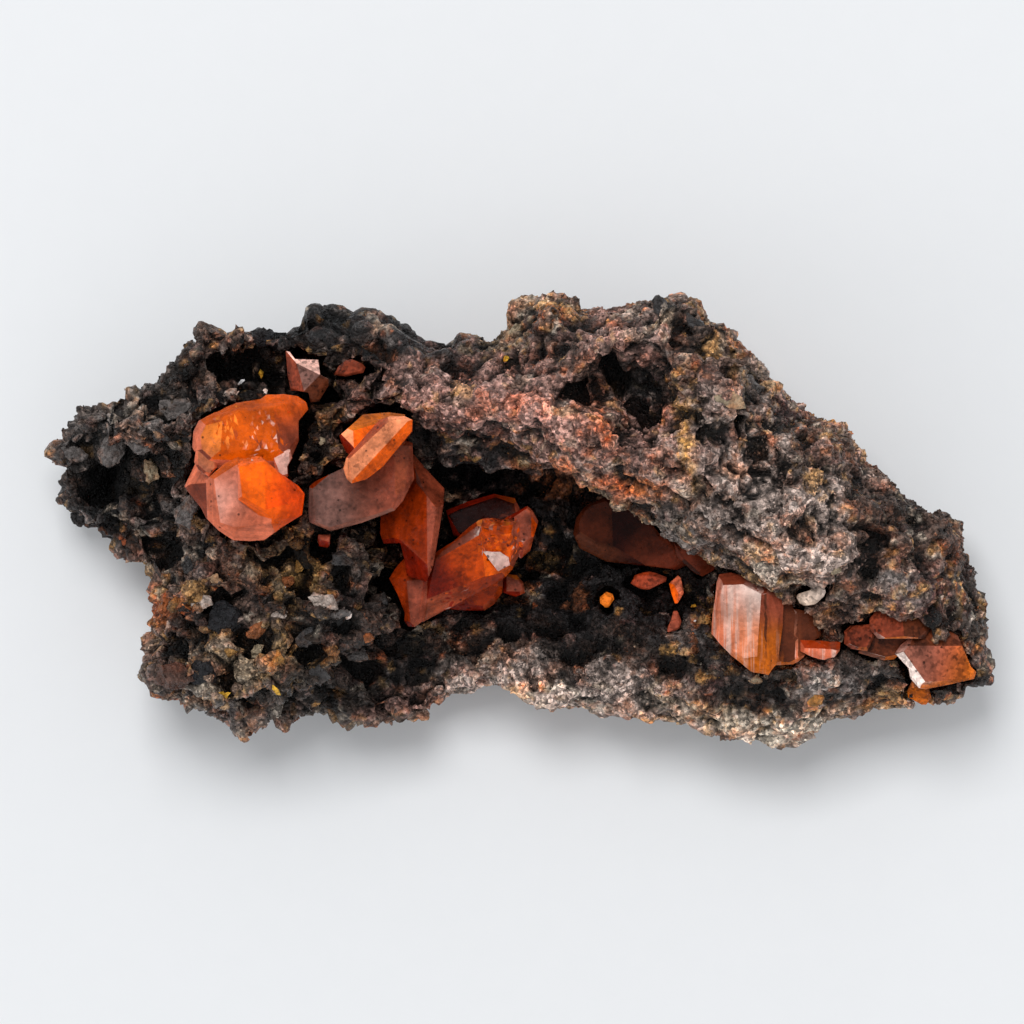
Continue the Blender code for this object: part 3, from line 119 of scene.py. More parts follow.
# Each kind of rock's ovals: x, y, half length, half width, and where they differ from the usual ones,
# the turn in degrees and the weight.
OVALS = {
    Stone.GREY: (
        (-41.5, 8.5, 3.0, 2.0, 20), (-36.5, 10.0, 3.0, 1.8, 20), (-34.0, 1.0, 2.0, 2.0),
        (-30.0, 12.0, 2.5, 2.0), (-27.0, -18.2, 5.0, 1.4), (15.5, -1.0, 2.6, 1.2, -40, 1.0),
        (-4.0, -14.0, 3.0, 1.0, 20, 0.8), (29.5, -15.5, 3.0, 1.6, 0, 0.9), (36.0, -6.0, 2.0, 1.0, 0, 0.6),
    ),
    Stone.SOOT: (
        (-40.5, 3.5, 4.0, 4.0, 0, 1.6), (-37.5, -0.5, 3.5, 3.0, 0, 1.4), (-26.0, 14.0, 3.0, 2.0, 0, 1.5),
        (-20.0, 18.2, 3.5, 2.4, 0, 1.8), (-14.0, 18.0, 5.0, 2.6, -8, 1.8), (-8.0, 16.6, 4.0, 1.6, 0, 1.6),
        (-24.0, -7.0, 2.4, 1.2, 0, 1.2), (-31.5, -10.5, 2.0, 2.0, 0, 1.2), (-15.5, -7.8, 2.4, 1.0, 0, 1.2),
        (-11.5, -15.0, 3.5, 1.8, 30, 1.4), (1.5, 18.8, 2.2, 1.4, 0, 1.4), (11.5, 13.5, 2.2, 3.0, 20, 1.8),
        (21.5, 10.0, 1.2, 2.0, 0, 0.9), (-4.0, 5.5, 5.0, 1.8, -20, 2.4), (0.5, 1.5, 5.0, 2.2, -30, 2.6),
        (8.0, -3.0, 6.0, 2.4, -25, 2.6), (2.0, -8.0, 8.0, 4.0, 0, 2.6), (12.0, -9.0, 8.0, 3.5, -10, 2.2),
        (19.0, -15.5, 3.0, 1.6, 0, 1.0), (44.0, -14.5, 1.6, 2.0, 0, 1.4),
    ),
    Stone.DARK: (
        (-43.5, 5.5, 1.5, 3.0), (-33.0, 13.5, 3.0, 3.0), (-16.0, 12.5, 3.0, 2.0), (-19.0, 4.5, 1.5, 2.0),
        (-17.0, -5.0, 3.0, 2.5, 0, 1.2), (-18.5, -10.5, 4.0, 3.0, 0, 1.2), (-20.0, -16.0, 4.0, 2.0, 0, 1.2),
        (-15.0, -17.0, 4.0, 1.6), (-2.0, 15.2, 3.0, 1.2, 10, 1.2), (14.5, 19.0, 3.0, 1.6),
        (9.5, 7.5, 2.0, 1.6, -30), (38.0, 1.0, 3.0, 2.4, 0, 1.0), (42.5, -7.0, 1.8, 3.5, 0, 1.2),
        (-9.0, 8.0, 3.0, 0.9, -15, 1.6), (5.0, -13.0, 7.0, 1.6, 0, 1.0), (15.0, -14.5, 6.0, 2.2, -10, 1.0),
        (24.0, -17.0, 3.5, 2.4, 0, 1.0), (33.5, -14.5, 3.0, 1.6, 0, 1.0), (40.0, -16.0, 3.0, 1.0, 0, 1.2),
    ),
    Stone.BROWN: (
        (-33.5, 5.0, 3.0, 4.0), (-29.0, 16.5, 4.0, 2.0), (-19.5, 9.0, 1.6, 3.0), (-30.0, -3.0, 3.0, 3.0),
        (-27.0, -9.0, 3.0, 3.0), (-33.8, -15.0, 2.0, 2.0, 0, 1.2), (-14.0, -11.5, 3.0, 2.2),
        (-13.5, 10.0, 2.0, 1.2), (5.0, 16.5, 3.5, 3.0), (16.0, 15.5, 3.0, 3.0), (28.0, 6.0, 3.0, 2.6),
        (33.0, 3.0, 2.6, 2.0, 0, 1.1), (41.5, -1.5, 2.4, 2.8, 0, 1.4), (34.0, -3.0, 3.5, 2.4, 0, 1.0),
        (30.5, -9.0, 2.0, 2.0, 0, 0.8),
    ),
    Stone.TAN: (
        (-25.0, -4.0, 2.5, 1.8, 10, 0.5), (-26.5, -14.0, 4.0, 2.4, 10, 0.6),
        (-1.5, 17.5, 1.4, 2.2, -30, 1.2), (9.5, 0.5, 3.5, 0.9, -32, 1.2), (17.5, -18.0, 3.5, 1.2, -10, 0.9),
    ),
    Stone.OCHRE: (
        (-21.5, -5.0, 2.4, 1.6), (-22.5, -12.0, 2.0, 2.4, 0, 0.5),
    ),
    Stone.RUST: (
        (-34.3, -8.3, 1.5, 1.3, 0, 1.3), (6.5, 9.0, 2.2, 1.6, -20, 0.9), (4.5, 2.5, 3.5, 0.9, -28, 1.3),
        (12.0, 2.8, 2.4, 1.2, -20, 0.9),
    ),
    Stone.PINK: (
        (-11.0, -17.4, 4.0, 1.0, 20), (-9.0, 12.3, 6.0, 2.6, 6, 1.9), (-2.0, 11.6, 5.5, 3.2, -10, 1.8),
        (5.0, 9.4, 5.0, 3.0, -30, 1.4), (9.0, 18.0, 3.0, 2.0), (13.0, 8.0, 4.0, 2.4, -20),
        (-6.0, 9.3, 4.0, 1.1, -8, 1.0),
    ),
    Stone.YELLOW: (
        (15.6, 7.0, 0.6, 3.0, 0, 1.8),
    ),
    Stone.PALE: (
        (20.0, 9.5, 3.5, 3.0, -20, 1.1), (19.5, 5.0, 4.0, 3.0, 0, 1.1), (22.0, 1.0, 5.0, 3.0, 0, 1.3),
        (27.5, 2.0, 3.0, 2.0, 0, 1.0), (28.0, -3.0, 3.5, 2.0, 0, 1.0), (6.5, -15.6, 6.0, 1.7, -6, 2.2),
        (-5.5, -15.6, 3.2, 1.0, 14, 1.6),
    ),
    Stone.MAROON: (
        (25.5, 10.5, 2.0, 1.5, 0, 1.1), (38.5, -6.5, 3.0, 2.0, 0, 1.0),
    ),
    Stone.CREAM: (
        (5.0, -16.6, 3.0, 0.7, -8, 1.4), (25.8, -20.2, 3.4, 1.2, 0, 1.8),
    ),
}
PATCHES = [Patch(stone, *oval) for stone, ovals in OVALS.items() for oval in ovals]


@dataclass(frozen=True)
class Dent:
    """An oval hollow in the rock, or a swelling where its depth is below zero."""

    x: float
    y: float
    half_x: float
    half_y: float
    turn: float
    depth: float


# Hollows in the rock, which carry few loose grains.
VOIDS = [Dent(*oval) for oval in (
    (-40.0, 3.4, 2.8, 2.4, 30, 0.9), (-38.6, -0.6, 2.6, 2.0, -20, 1.2), (-26.5, -6.2, 1.6, 1.1, 20, 1.4),
    (-13.0, -6.2, 1.6, 1.2, 0, 1.4), (-22.4, -9.8, 1.3, 0.9, 0, 1.4), (-30.0, 5.0, 1.0, 2.0, 0, 0.9),
    (-16.0, -14.2, 4.6, 0.8, 4, 1.4), (-33.0, -12.2, 1.2, 1.4, 0, 1.2), (-28.4, 14.4, 1.5, 0.9, 10, 1.2),
    (9.0, 13.8, 1.2, 2.6, 28, 1.9), (10.8, 11.2, 1.0, 2.6, 22, 1.7), (5.4, 12.3, 2.4, 0.7, -6, 1.3),
    (-0.4, 14.8, 0.9, 1.1, 0, 1.6), (21.0, 9.6, 0.6, 2.3, -8, 2.2), (17.0, 0.2, 1.1, 0.6, -20, 1.2),
    (-25.0, 14.4, 1.7, 1.9, 0, 0.9), (-40.5, 2.9, 2.0, 2.4, 20, 0.8), (-36.7, -0.9, 2.0, 1.6, 0, 1.4),
    (-38.1, 5.8, 1.7, 1.3, 0, 1.0), (-23.8, -7.2, 2.6, 0.9, 8, 1.8), (-15.4, -8.0, 2.6, 0.8, 0, 1.6),
    (-31.6, -10.6, 1.3, 1.5, 0, 1.6), (-19.5, -12.6, 1.4, 0.9, 0, 1.4), (28.6, 5.4, 2.2, 0.7, -35, 1.2),
    (33.5, -1.0, 2.6, 0.6, -20, 1.0), (-17.6, 12.0, 1.6, 1.0, 0, 1.2), (-25.5, 19.2, 6.0, 1.8, 0, 1.3),
    (-38.0, 11.6, 4.2, 1.3, 15, 0.8),
)]
# Where the rim is drawn in or filled out to the specimen's outline, and three swellings of the ridge.
TRIMS = [Dent(*oval) for oval in (
    (-8.5, 17.4, 3.0, 1.4, -10, 1.3), (-2.2, 18.4, 3.8, 1.2, 40, 1.5), (7.5, 20.8, 5.5, 1.0, 0, 0.8),
    (38.0, 2.8, 5.2, 1.5, -38, 1.4), (43.8, -4.5, 1.6, 5.5, 8, 1.3), (43.6, -17.2, 2.4, 1.4, 20, 1.4),
    (-44.2, 6.6, 1.8, 1.5, 0, -1.2), (-43.6, 3.0, 1.2, 2.2, 0, -0.9), (-34.8, -14.8, 1.4, 3.0, 0, -1.0),
    (-25.5, -20.0, 4.4, 1.5, 0, -1.1), (-17.8, -19.2, 2.8, 1.3, 0, -1.1), (7.6, 17.0, 2.6, 1.0, -20, -0.8),
    (19.0, 12.6, 2.4, 1.2, -30, -0.8), (-2.0, 12.0, 2.6, 1.0, 5, -0.6),
)]
# Stretches that carry few loose grains: the black knobs at the top, and smooth faces at the left and right.
TOP_KNOBS = Dent(-13.5, 18.2, 10.0, 3.6, -6, 0.0)
BARE = [TOP_KNOBS, Dent(-39.5, 1.0, 4.0, 4.6, 20, 0.0), Dent(21.0, 3.6, 3.6, 2.6, -20, 0.0)]


def oval_reach(ground: np.ndarray, oval: Patch | Dent) -> np.ndarray:
    """How far points lie from an oval's middle.

    Args:
        ground: points seen from above, in the tables' millimetres.
        oval: the oval.

    Returns:
        One number per point, 1 on the oval's edge.
    """
    angle = math.radians(oval.turn)
    way = np.array([[math.cos(angle), math.sin(angle)], [-math.sin(angle), math.cos(angle)]])
    return np.linalg.norm((ground - (oval.x, oval.y)) @ way.T / (oval.half_x, oval.half_y), axis=1)


def hashed(cells: np.ndarray, seed: int) -> np.ndarray:
    """Repeatable numbers from 0 to 1 for whole-number cells.

    Args:
        cells: cell coordinates, one row of three whole numbers each.
        seed: which set of numbers to give.

    Returns:
        One number per row.
    """
    c = cells.astype(np.int64).astype(np.uint64)
    h = c[..., 0] * np.uint64(0x9E3779B97F4A7C15) + c[..., 1] * np.uint64(0xC2B2AE3D27D4EB4F)
    h = h + c[..., 2] * np.uint64(0x165667B19E3779F9) + np.uint64(seed * 7919 + 13)
    h ^= h >> np.uint64(30)
    h *= np.uint64(0xBF58476D1CE4E5B9)
    h ^= h >> np.uint64(27)
    h *= np.uint64(0x94D049BB133111EB)
    h ^= h >> np.uint64(31)
    return (h >> np.uint64(11)).astype(np.float64) / float(1 << 53)


def smooth_noise(places: np.ndarray, size: float, seed: int) -> np.ndarray:
    """Soft random waves.

    Args:
        places: points in millimetres, one per row.
        size: length of a wave in millimetres.
        seed: which set of waves to give.

    Returns:
        One number from -1 to 1 per point.
    """
    scaled = places / size
    base = np.floor(scaled)
    part = scaled - base
    part = part * part * (3 - 2 * part)
    total = np.zeros(len(places))
    for corner in range(8):
        step = np.array([corner & 1, corner >> 1 & 1, corner >> 2 & 1])
        share = np.prod(np.where(step, part, 1 - part), axis=1)
        total += share * hashed(base + step, seed)
    return total * 2 - 1


def layered_noise(places: np.ndarray, size: float, seed: int, layers: int = 4) -> np.ndarray:
    """Random waves with finer waves on them.

    Args:
        places: points in millimetres, one per row.
        size: length of the longest wave in millimetres.
        seed: which set of waves to give.
        layers: how many sizes of wave to add up.

    Returns:
        One number per point, mostly between -1 and 1.
    """
    total, height = np.zeros(len(places)), 1.0
    for layer in range(layers):
        total += height * smooth_noise(places, size / 2**layer, seed + 31 * layer)
        height *= 0.55
    return total / 1.6


@dataclass
class Cells:
    """The nearest cell centre of every point, in a random honeycomb."""

    near: np.ndarray
    second: np.ndarray
    offset: np.ndarray
    label: np.ndarray


def honeycomb(places: np.ndarray, size: float, seed: int) -> Cells:
    """Finds each point's cell.

    Args:
        places: points in millimetres, one per row.
        size: a cell's width in millimetres.
        seed: which honeycomb to give.

    Returns:
        Distances to the nearest and second centres and the way from the nearest one, in cell
        widths, and that cell's coordinates.
    """
    scaled = places / size
    base = np.floor(scaled)
    near = np.full(len(places), 9.0)
    second = np.full(len(places), 9.0)
    offset = np.zeros_like(scaled)
    label = np.zeros_like(scaled)
    for dx in (-1, 0, 1):
        for dy in (-1, 0, 1):
            for dz in (-1, 0, 1):
                cell = base + (dx, dy, dz)
                jitter = np.stack([hashed(cell, seed + k) for k in (0, 1, 2)], axis=1)
                gap = scaled - (cell + jitter)
                reach = np.linalg.norm(gap, axis=1)
                closer = reach < near
                second = np.where(closer, near, np.minimum(second, reach))
                near = np.where(closer, reach, near)
                offset = np.where(closer[:, None], gap, offset)
                label = np.where(closer[:, None], cell, label)
    return Cells(near, second, offset, label)


def crags(places: np.ndarray, size: float, depth: float, seed: int) -> np.ndarray:
    """How far a surface stands out when it is broken into tipped facets.

    Args:
        places: points in millimetres, one per row.
        size: a facet's width in millimetres.
        depth: how far the facets stand out and tip, in millimetres.
        seed: which set of facets to give.

    Returns:
        One distance in millimetres per point.
    """
    cells = honeycomb(places, size, seed)
    lean = np.stack([hashed(cells.label, seed + k) for k in (11, 12, 13)], axis=1) * 2 - 1
    level = hashed(cells.label, seed + 14) - 0.5
    return depth * (np.sum(cells.offset * lean, axis=1) + 0.9 * level)


def knobs(places: np.ndarray, size: float, height: float, seed: int) -> np.ndarray:
    """How far knobs of a size and height in millimetres stand out, about as much out as in."""
    near = honeycomb(places, size, seed).near
    return height * (np.sqrt(np.clip(1 - near**2 / KNOB_REACH, 0, 1)) - KNOB_MEAN)


def ramp(values: np.ndarray, low: float, high: float) -> np.ndarray:
    """0 below low, 1 above high, and a soft climb between them."""
    share = np.clip((values - low) / (high - low), 0, 1)
    return share * share * (3 - 2 * share)


def points_of(mesh: bpy.types.Mesh) -> np.ndarray:
    """The mesh's vertex positions in millimetres.

    Args:
        mesh: the mesh to read.

    Returns:
        One row of three numbers per vertex.
    """
    flat = np.empty(len(mesh.vertices) * 3)
    mesh.vertices.foreach_get("co", flat)
    return flat.reshape(-1, 3) / MM


def normals_of(mesh: bpy.types.Mesh) -> np.ndarray:
    """The mesh's vertex normals.

    Args:
        mesh: the mesh to read.

    Returns:
        One row of three numbers per vertex.
    """
    flat = np.empty(len(mesh.vertices) * 3)
    mesh.vertex_normals.foreach_get("vector", flat)
    return flat.reshape(-1, 3)


def move_points(mesh: bpy.types.Mesh, places: np.ndarray) -> None:
    """Puts the mesh's vertices at the given places in millimetres."""
    mesh.vertices.foreach_set("co", (places * MM).ravel())
    mesh.update()


def settled_mean(mesh: bpy.types.Mesh, values: np.ndarray, rounds: int) -> np.ndarray:
    """Averages a vertex value over its neighbours, several times.

    Args:
        mesh: the mesh whose edges tell the neighbours.
        values: one row per vertex.
        rounds: how often to average.

    Returns:
        The averaged values, in the same form.
    """
    ends = np.empty(len(mesh.edges) * 2, dtype=np.int64)
    mesh.edges.foreach_get("vertices", ends)
    a, b = ends.reshape(-1, 2).T
    count = np.bincount(np.concatenate([a, b]), minlength=len(values)).clip(1)
    mean = values.copy()
    for _ in range(rounds):
        columns = []
        for column in np.atleast_2d(mean.T):
            total = np.bincount(a, column[b], len(values)) + np.bincount(b, column[a], len(values))
            columns.append(total / count)
        mean = np.array(columns).T.reshape(values.shape)
    return mean


def evaluated(item: bpy.types.Object) -> bpy.types.Mesh:
    """The object's mesh with its modifiers applied.

    Args:
        item: the object.

    Returns:
        A new mesh.
    """
    bpy.context.view_layer.update()
    graph = bpy.context.evaluated_depsgraph_get()
    return bpy.data.meshes.new_from_object(item.evaluated_get(graph))


def apply_all(item: bpy.types.Object) -> None:
    """Replaces the object's mesh by its evaluated one and clears its modifiers.

    Args:
        item: the object.
    """
    mesh = evaluated(item)
    item.modifiers.clear()
    item.data = mesh


def new_object(name: str, mesh: bpy.types.Mesh) -> bpy.types.Object:
    """A new object in the scene's collection.

    Args:
        name: its name, which its mesh takes too.
        mesh: its mesh.

    Returns:
        The object.
    """
    mesh.name = name
    made = bpy.data.objects.new(name, mesh)
    bpy.context.scene.collection.objects.link(made)
    return made


def paint(mesh: bpy.types.Mesh, name: str, values: np.ndarray) -> None:
    """Stores a value or a colour per vertex.

    Args:
        mesh: the mesh to paint.
        name: the attribute's name.
        values: one number, or one row of three, per vertex.
    """
    if name in mesh.attributes:
        mesh.attributes.remove(mesh.attributes[name])
    if values.ndim == 1:
        made = mesh.attributes.new(name, "FLOAT", "POINT")
        made.data.foreach_set("value", values.astype(np.float32))
        return
    made = mesh.attributes.new(name, "FLOAT_COLOR", "POINT")
    full = np.ones((len(values), 4), np.float32)
    full[:, :3] = values
    made.data.foreach_set("color", full.ravel())


def rock_tone(places: np.ndarray) -> np.ndarray:
    """The rock's colour at each point, from the patches that reach it.

    Args:
        places: points in millimetres, one per row.

    Returns:
        One colour per point.
    """
    sway = np.stack([layered_noise(places, 3.2, seed, 3) for seed in (501, 502)], axis=1) * 1.3
    ground = places[:, :2] - MIDDLE + sway
    stones = list(Stone)
    pulls = np.full((len(places), len(stones)), STRAY_STONE)
    for patch in PATCHES:
        reach = oval_reach(ground, patch)
        pulls[:, stones.index(patch.stone)] += patch.weight * np.exp(-1.1 * reach * reach)
    colours = np.array([stone.value for stone in stones])
    pulls /= pulls.sum(axis=1)[:, None]
    spread = pulls**0.75
    steps = np.cumsum(spread / spread.sum(axis=1)[:, None], axis=1)
    mixed = BLENDED * pulls @ colours
    for size, seed in ((LUMP, LUMP_SEED), (GRAIN, GRAIN_SEED)):
        luck = hashed(honeycomb(places, size, seed).label, seed)
        pick = np.minimum((steps < luck[:, None]).sum(axis=1), len(stones) - 1)
        mixed += (1 - BLENDED) / 2 * colours[pick]
    mixed *= (1 - LEFT_DARKER * left_side(places))[:, None]
    return mixed * np.exp(CLOUDING * layered_noise(places, 5.5, 601, 3))[:, None]


def left_side(places: np.ndarray) -> np.ndarray:
    """1 on the dark lobes at the left, 0 on the rest of the rock, and a soft climb between."""
    return ramp(-places[:, 0], 6, 14)


class Shader:
    """A material's node tree, with short calls to add and join its nodes."""

    def __init__(self, tree: bpy.types.NodeTree) -> None:
        """Keeps the tree."""
        self.tree = tree

    def node(self, kind: str, **settings: object) -> bpy.types.Node:
        """Adds a node.

        Args:
            kind: the node's type.
            settings: its properties.

        Returns:
            The node.
        """
        made = self.tree.nodes.new(kind)
        for key, value in settings.items():
            setattr(made, key, value)
        return made

    def feed(self, socket: bpy.types.NodeSocket, source: object) -> None:
        """Joins a socket to another one, or sets it to a plain value.

        Args:
            socket: the socket to feed.
            source: another node's socket, or the value.
        """
        if isinstance(source, bpy.types.NodeSocket):
            self.tree.links.new(source, socket)
        elif isinstance(source, tuple) and len(source) == 3 and socket.type == "RGBA":
            socket.default_value = (*source, 1.0)
        else:
            socket.default_value = source

    def attribute(self, name: str) -> bpy.types.Node:
        """A node that reads a painted attribute."""
        return self.node("ShaderNodeAttribute", attribute_name=name)

    def place(self) -> bpy.types.NodeSocket:
        """The point on the object, in metres."""
        return self.node("ShaderNodeTexCoord").outputs["Object"]

    def noise(
        self, scale: object, detail: float = 4.0, rough: float = 0.55, place: object = None
    ) -> bpy.types.NodeSocket:
        """Soft noise.

        Args:
            scale: waves per metre.
            detail: how many finer layers.
            rough: how strong they are.
            place: where it is looked up.

        Returns:
            The noise, mostly from 0.3 to 0.7.
        """
        made = self.node("ShaderNodeTexNoise")
        self.feed(made.inputs["Vector"], place if place is not None else self.place())
        self.feed(made.inputs["Scale"], scale)
        self.feed(made.inputs["Detail"], detail)
        self.feed(made.inputs["Roughness"], rough)
        return made.outputs["Fac"]

    def cells(self, scale: object) -> tuple[bpy.types.NodeSocket, bpy.types.NodeSocket, bpy.types.NodeSocket]:
        """A honeycomb.

        Args:
            scale: cells per metre.

        Returns:
            The distance from a cell's centre, and two random numbers that each cell keeps.
        """
        made = self.node("ShaderNodeTexVoronoi")
        self.feed(made.inputs["Vector"], self.place())
        self.feed(made.inputs["Scale"], scale)
        luck = self.parts(made.outputs["Color"])
        return made.outputs["Distance"], luck[0], luck[1]

    def parts(self, colour: object) -> bpy.types.bpy_prop_collection:
        """A colour's red, green and blue.

        Args:
            colour: the colour.

        Returns:
            Three sockets.
        """
        made = self.node("ShaderNodeSeparateColor")
        self.feed(made.inputs[0], colour)
        return made.outputs

    def stretched(self, x: float, y: float, z: float) -> bpy.types.NodeSocket:
        """The point on the object, with each axis scaled.

        Args:
            x: the scale along the length.
            y: the scale across it.
            z: the scale upwards.

        Returns:
            The scaled point.
        """
        made = self.node("ShaderNodeMapping")
        self.feed(made.inputs["Vector"], self.place())
        made.inputs["Scale"].default_value = (x, y, z)
        return made.outputs["Vector"]

    def span(
        self, value: object, low: float, high: float, bottom: float = 0.0, top: float = 1.0
    ) -> bpy.types.NodeSocket:
        """Maps a value from one range to another, held at its ends.

        Args:
            value: the value.
            low: where its range starts.
            high: where its range ends.
            bottom: what low turns into.
            top: what high turns into.

        Returns:
            The mapped value.
        """
        made = self.node("ShaderNodeMapRange", clamp=True)
        names = ("Value", "From Min", "From Max", "To Min", "To Max")
        for name, source in zip(names, (value, low, high, bottom, top)):
            self.feed(made.inputs[name], source)
        return made.outputs["Result"]

    def reckon(self, operation: str, *values: object) -> bpy.types.NodeSocket:
        """Works through two or more values with one operation.

        Args:
            operation: the Math node's operation.
            values: the values, in order.

        Returns:
            The result.
        """
        result = values[0]
        for value in values[1:]:
            made = self.node("ShaderNodeMath", operation=operation)
            self.feed(made.inputs[0], result)
            self.feed(made.inputs[1], value)
            result = made.outputs[0]
        return result

    def times(self, *values: object) -> bpy.types.NodeSocket:
        """The values multiplied."""
        return self.reckon("MULTIPLY", *values)

    def plus(self, *values: object) -> bpy.types.NodeSocket:
        """The values added up."""
        return self.reckon("ADD", *values)

    def mix(self, share: object, first: object, second: object, blend: str = "MIX") -> bpy.types.NodeSocket:
        """Mixes two colours.

        Args:
            share: how much of the second.
            first: the colour below.
            second: the colour above.
            blend: the Mix node's way to blend.

        Returns:
            The mixed colour.
        """
        made = self.node("ShaderNodeMix", data_type="RGBA", blend_type=blend)
        for index, source in ((0, share), (6, first), (7, second)):
            self.feed(made.inputs[index], source)
        return made.outputs[2]

    def shaded(self, colour: object, shade: object) -> bpy.types.NodeSocket:
        """A colour made lighter or darker.

        Args:
            colour: the colour.
            shade: what its parts are multiplied by.

        Returns:
            The shaded colour.
        """
        grey = self.node("ShaderNodeCombineColor")
        for socket in grey.inputs:
            self.feed(socket, shade)
        return self.mix(1.0, colour, grey.outputs[0], "MULTIPLY")

    def bump(self, height: object, strength: float, distance: float) -> bpy.types.NodeSocket:
        """Turns a height into a tilted normal.

        Args:
            height: the height.
            strength: how much of it shows.
            distance: what a height of 1 stands for, in metres.

        Returns:
            The normal.
        """
        made = self.node("ShaderNodeBump")
        self.feed(made.inputs["Height"], height)
        made.inputs["Strength"].default_value = strength
        made.inputs["Distance"].default_value = distance
        return made.outputs["Normal"]

    def effect(self, tree: bpy.types.NodeTree, **values: object) -> bpy.types.Node:
        """Places a shared effect.

        Args:
            tree: the effect's node group.
            values: what its named inputs get.

        Returns:
            The group node.
        """
        made = self.node("ShaderNodeGroup", node_tree=tree)
        for name, value in values.items():
            self.feed(made.inputs[name.replace("_", " ").capitalize()], value)
        return made


class Effect:
    """A shader node group with named sockets, made once and placed in several materials."""

    name = "effect"
    inputs: dict[str, object] = {}
    outputs: tuple[str, ...] = ()

    def tree(self) -> bpy.types.NodeTree:
        """The effect's node group, made when it is first asked for.

        Returns:
            The node group.
        """
        known = bpy.data.node_groups.get(self.name)
        if known:
            return known
        group = bpy.data.node_groups.new(self.name, "ShaderNodeTree")
        for label, value in self.inputs.items():
            kind = "NodeSocketColor" if isinstance(value, tuple) else "NodeSocketFloat"
            socket = group.interface.new_socket(label, in_out="INPUT", socket_type=kind)
            socket.default_value = (*value, 1.0) if isinstance(value, tuple) else value
        for label in self.outputs:
            kind = "NodeSocketColor" if label == "Color" else "NodeSocketFloat"
            group.interface.new_socket(label, in_out="OUTPUT", socket_type=kind)
        shader = Shader(group)
        self.wire(shader, shader.node("NodeGroupInput").outputs, shader.node("NodeGroupOutput").inputs)
        return group

    def wire(self, shader: Shader, given: object, result: object) -> None:
        """Adds the effect's nodes between its sockets.

        Args:
            shader: the group's tree.
            given: the group's inputs.
            result: the group's outputs.
        """
        raise NotImplementedError(self.name)


class StoneGrain(Effect):
    """Mottled stone: bright and dark grains, painted shade in the hollows and painted highlights on the
    crests, rusty stains and glints.

    Scales are waves per metre.
    """

    name = "stone_grain"
    inputs = {"Tone": (0.1, 0.08, 0.07), "Hollow": 0.0, "Grain": 2400.0, "Contrast": 1.0, "Glint": 0.3}
    outputs = ("Color", "Roughness", "Height")
    mottle_scale = 1500.0
    stain_scale = 330.0
    fine_scale = 4200.0
    rust = (1.7, 0.88, 0.5)
    dull_and_glinting = (0.6, 0.2)
    # Painted highlight on crests and painted shade in pits, as factors on the colour.
    painted_crest_highlight_and_pit_shade = (1.9, 0.05)

    def wire(self, shader: Shader, given: object, result: object) -> None:
        """Adds the effect's nodes between its sockets.

        Args:
            shader: the group's tree.
            given: the group's inputs.
            result: the group's outputs.
        """
        distance, luck, glint_luck = shader.cells(given["Grain"])
        lift = shader.span(shader.reckon("POWER", luck, 1.8), 0.0, 1.0, 0.42, 2.3)
        mottle = shader.span(shader.noise(self.mottle_scale, 5.0, 0.7), 0.36, 0.64, 0.45, 1.55)
        shade = shader.reckon("POWER", shader.times(lift, mottle), given["Contrast"])
        # Painted shade and highlight: the Hollow input darkens pits and brightens crests.
        shade = shader.times(shade, shader.span(given["Hollow"], -0.7, 0.9, *self.painted_crest_highlight_and_pit_shade))
        colour = shader.shaded(given["Tone"], shade)
        stain = shader.span(shader.noise(self.stain_scale, 4.0, 0.65), 0.50, 0.66, 0.0, 0.6)
        rusty = shader.mix(1.0, colour, self.rust, "MULTIPLY")
        shader.feed(result["Color"], shader.mix(stain, colour, rusty))
        glints = shader.reckon("LESS_THAN", glint_luck, given["Glint"])
        shader.feed(result["Roughness"], shader.span(glints, 0.0, 1.0, *self.dull_and_glinting))
        fine = shader.noise(self.fine_scale, 3.0, 0.7)
        shader.feed(result["Height"], shader.plus(fine, shader.times(distance, -0.9)))


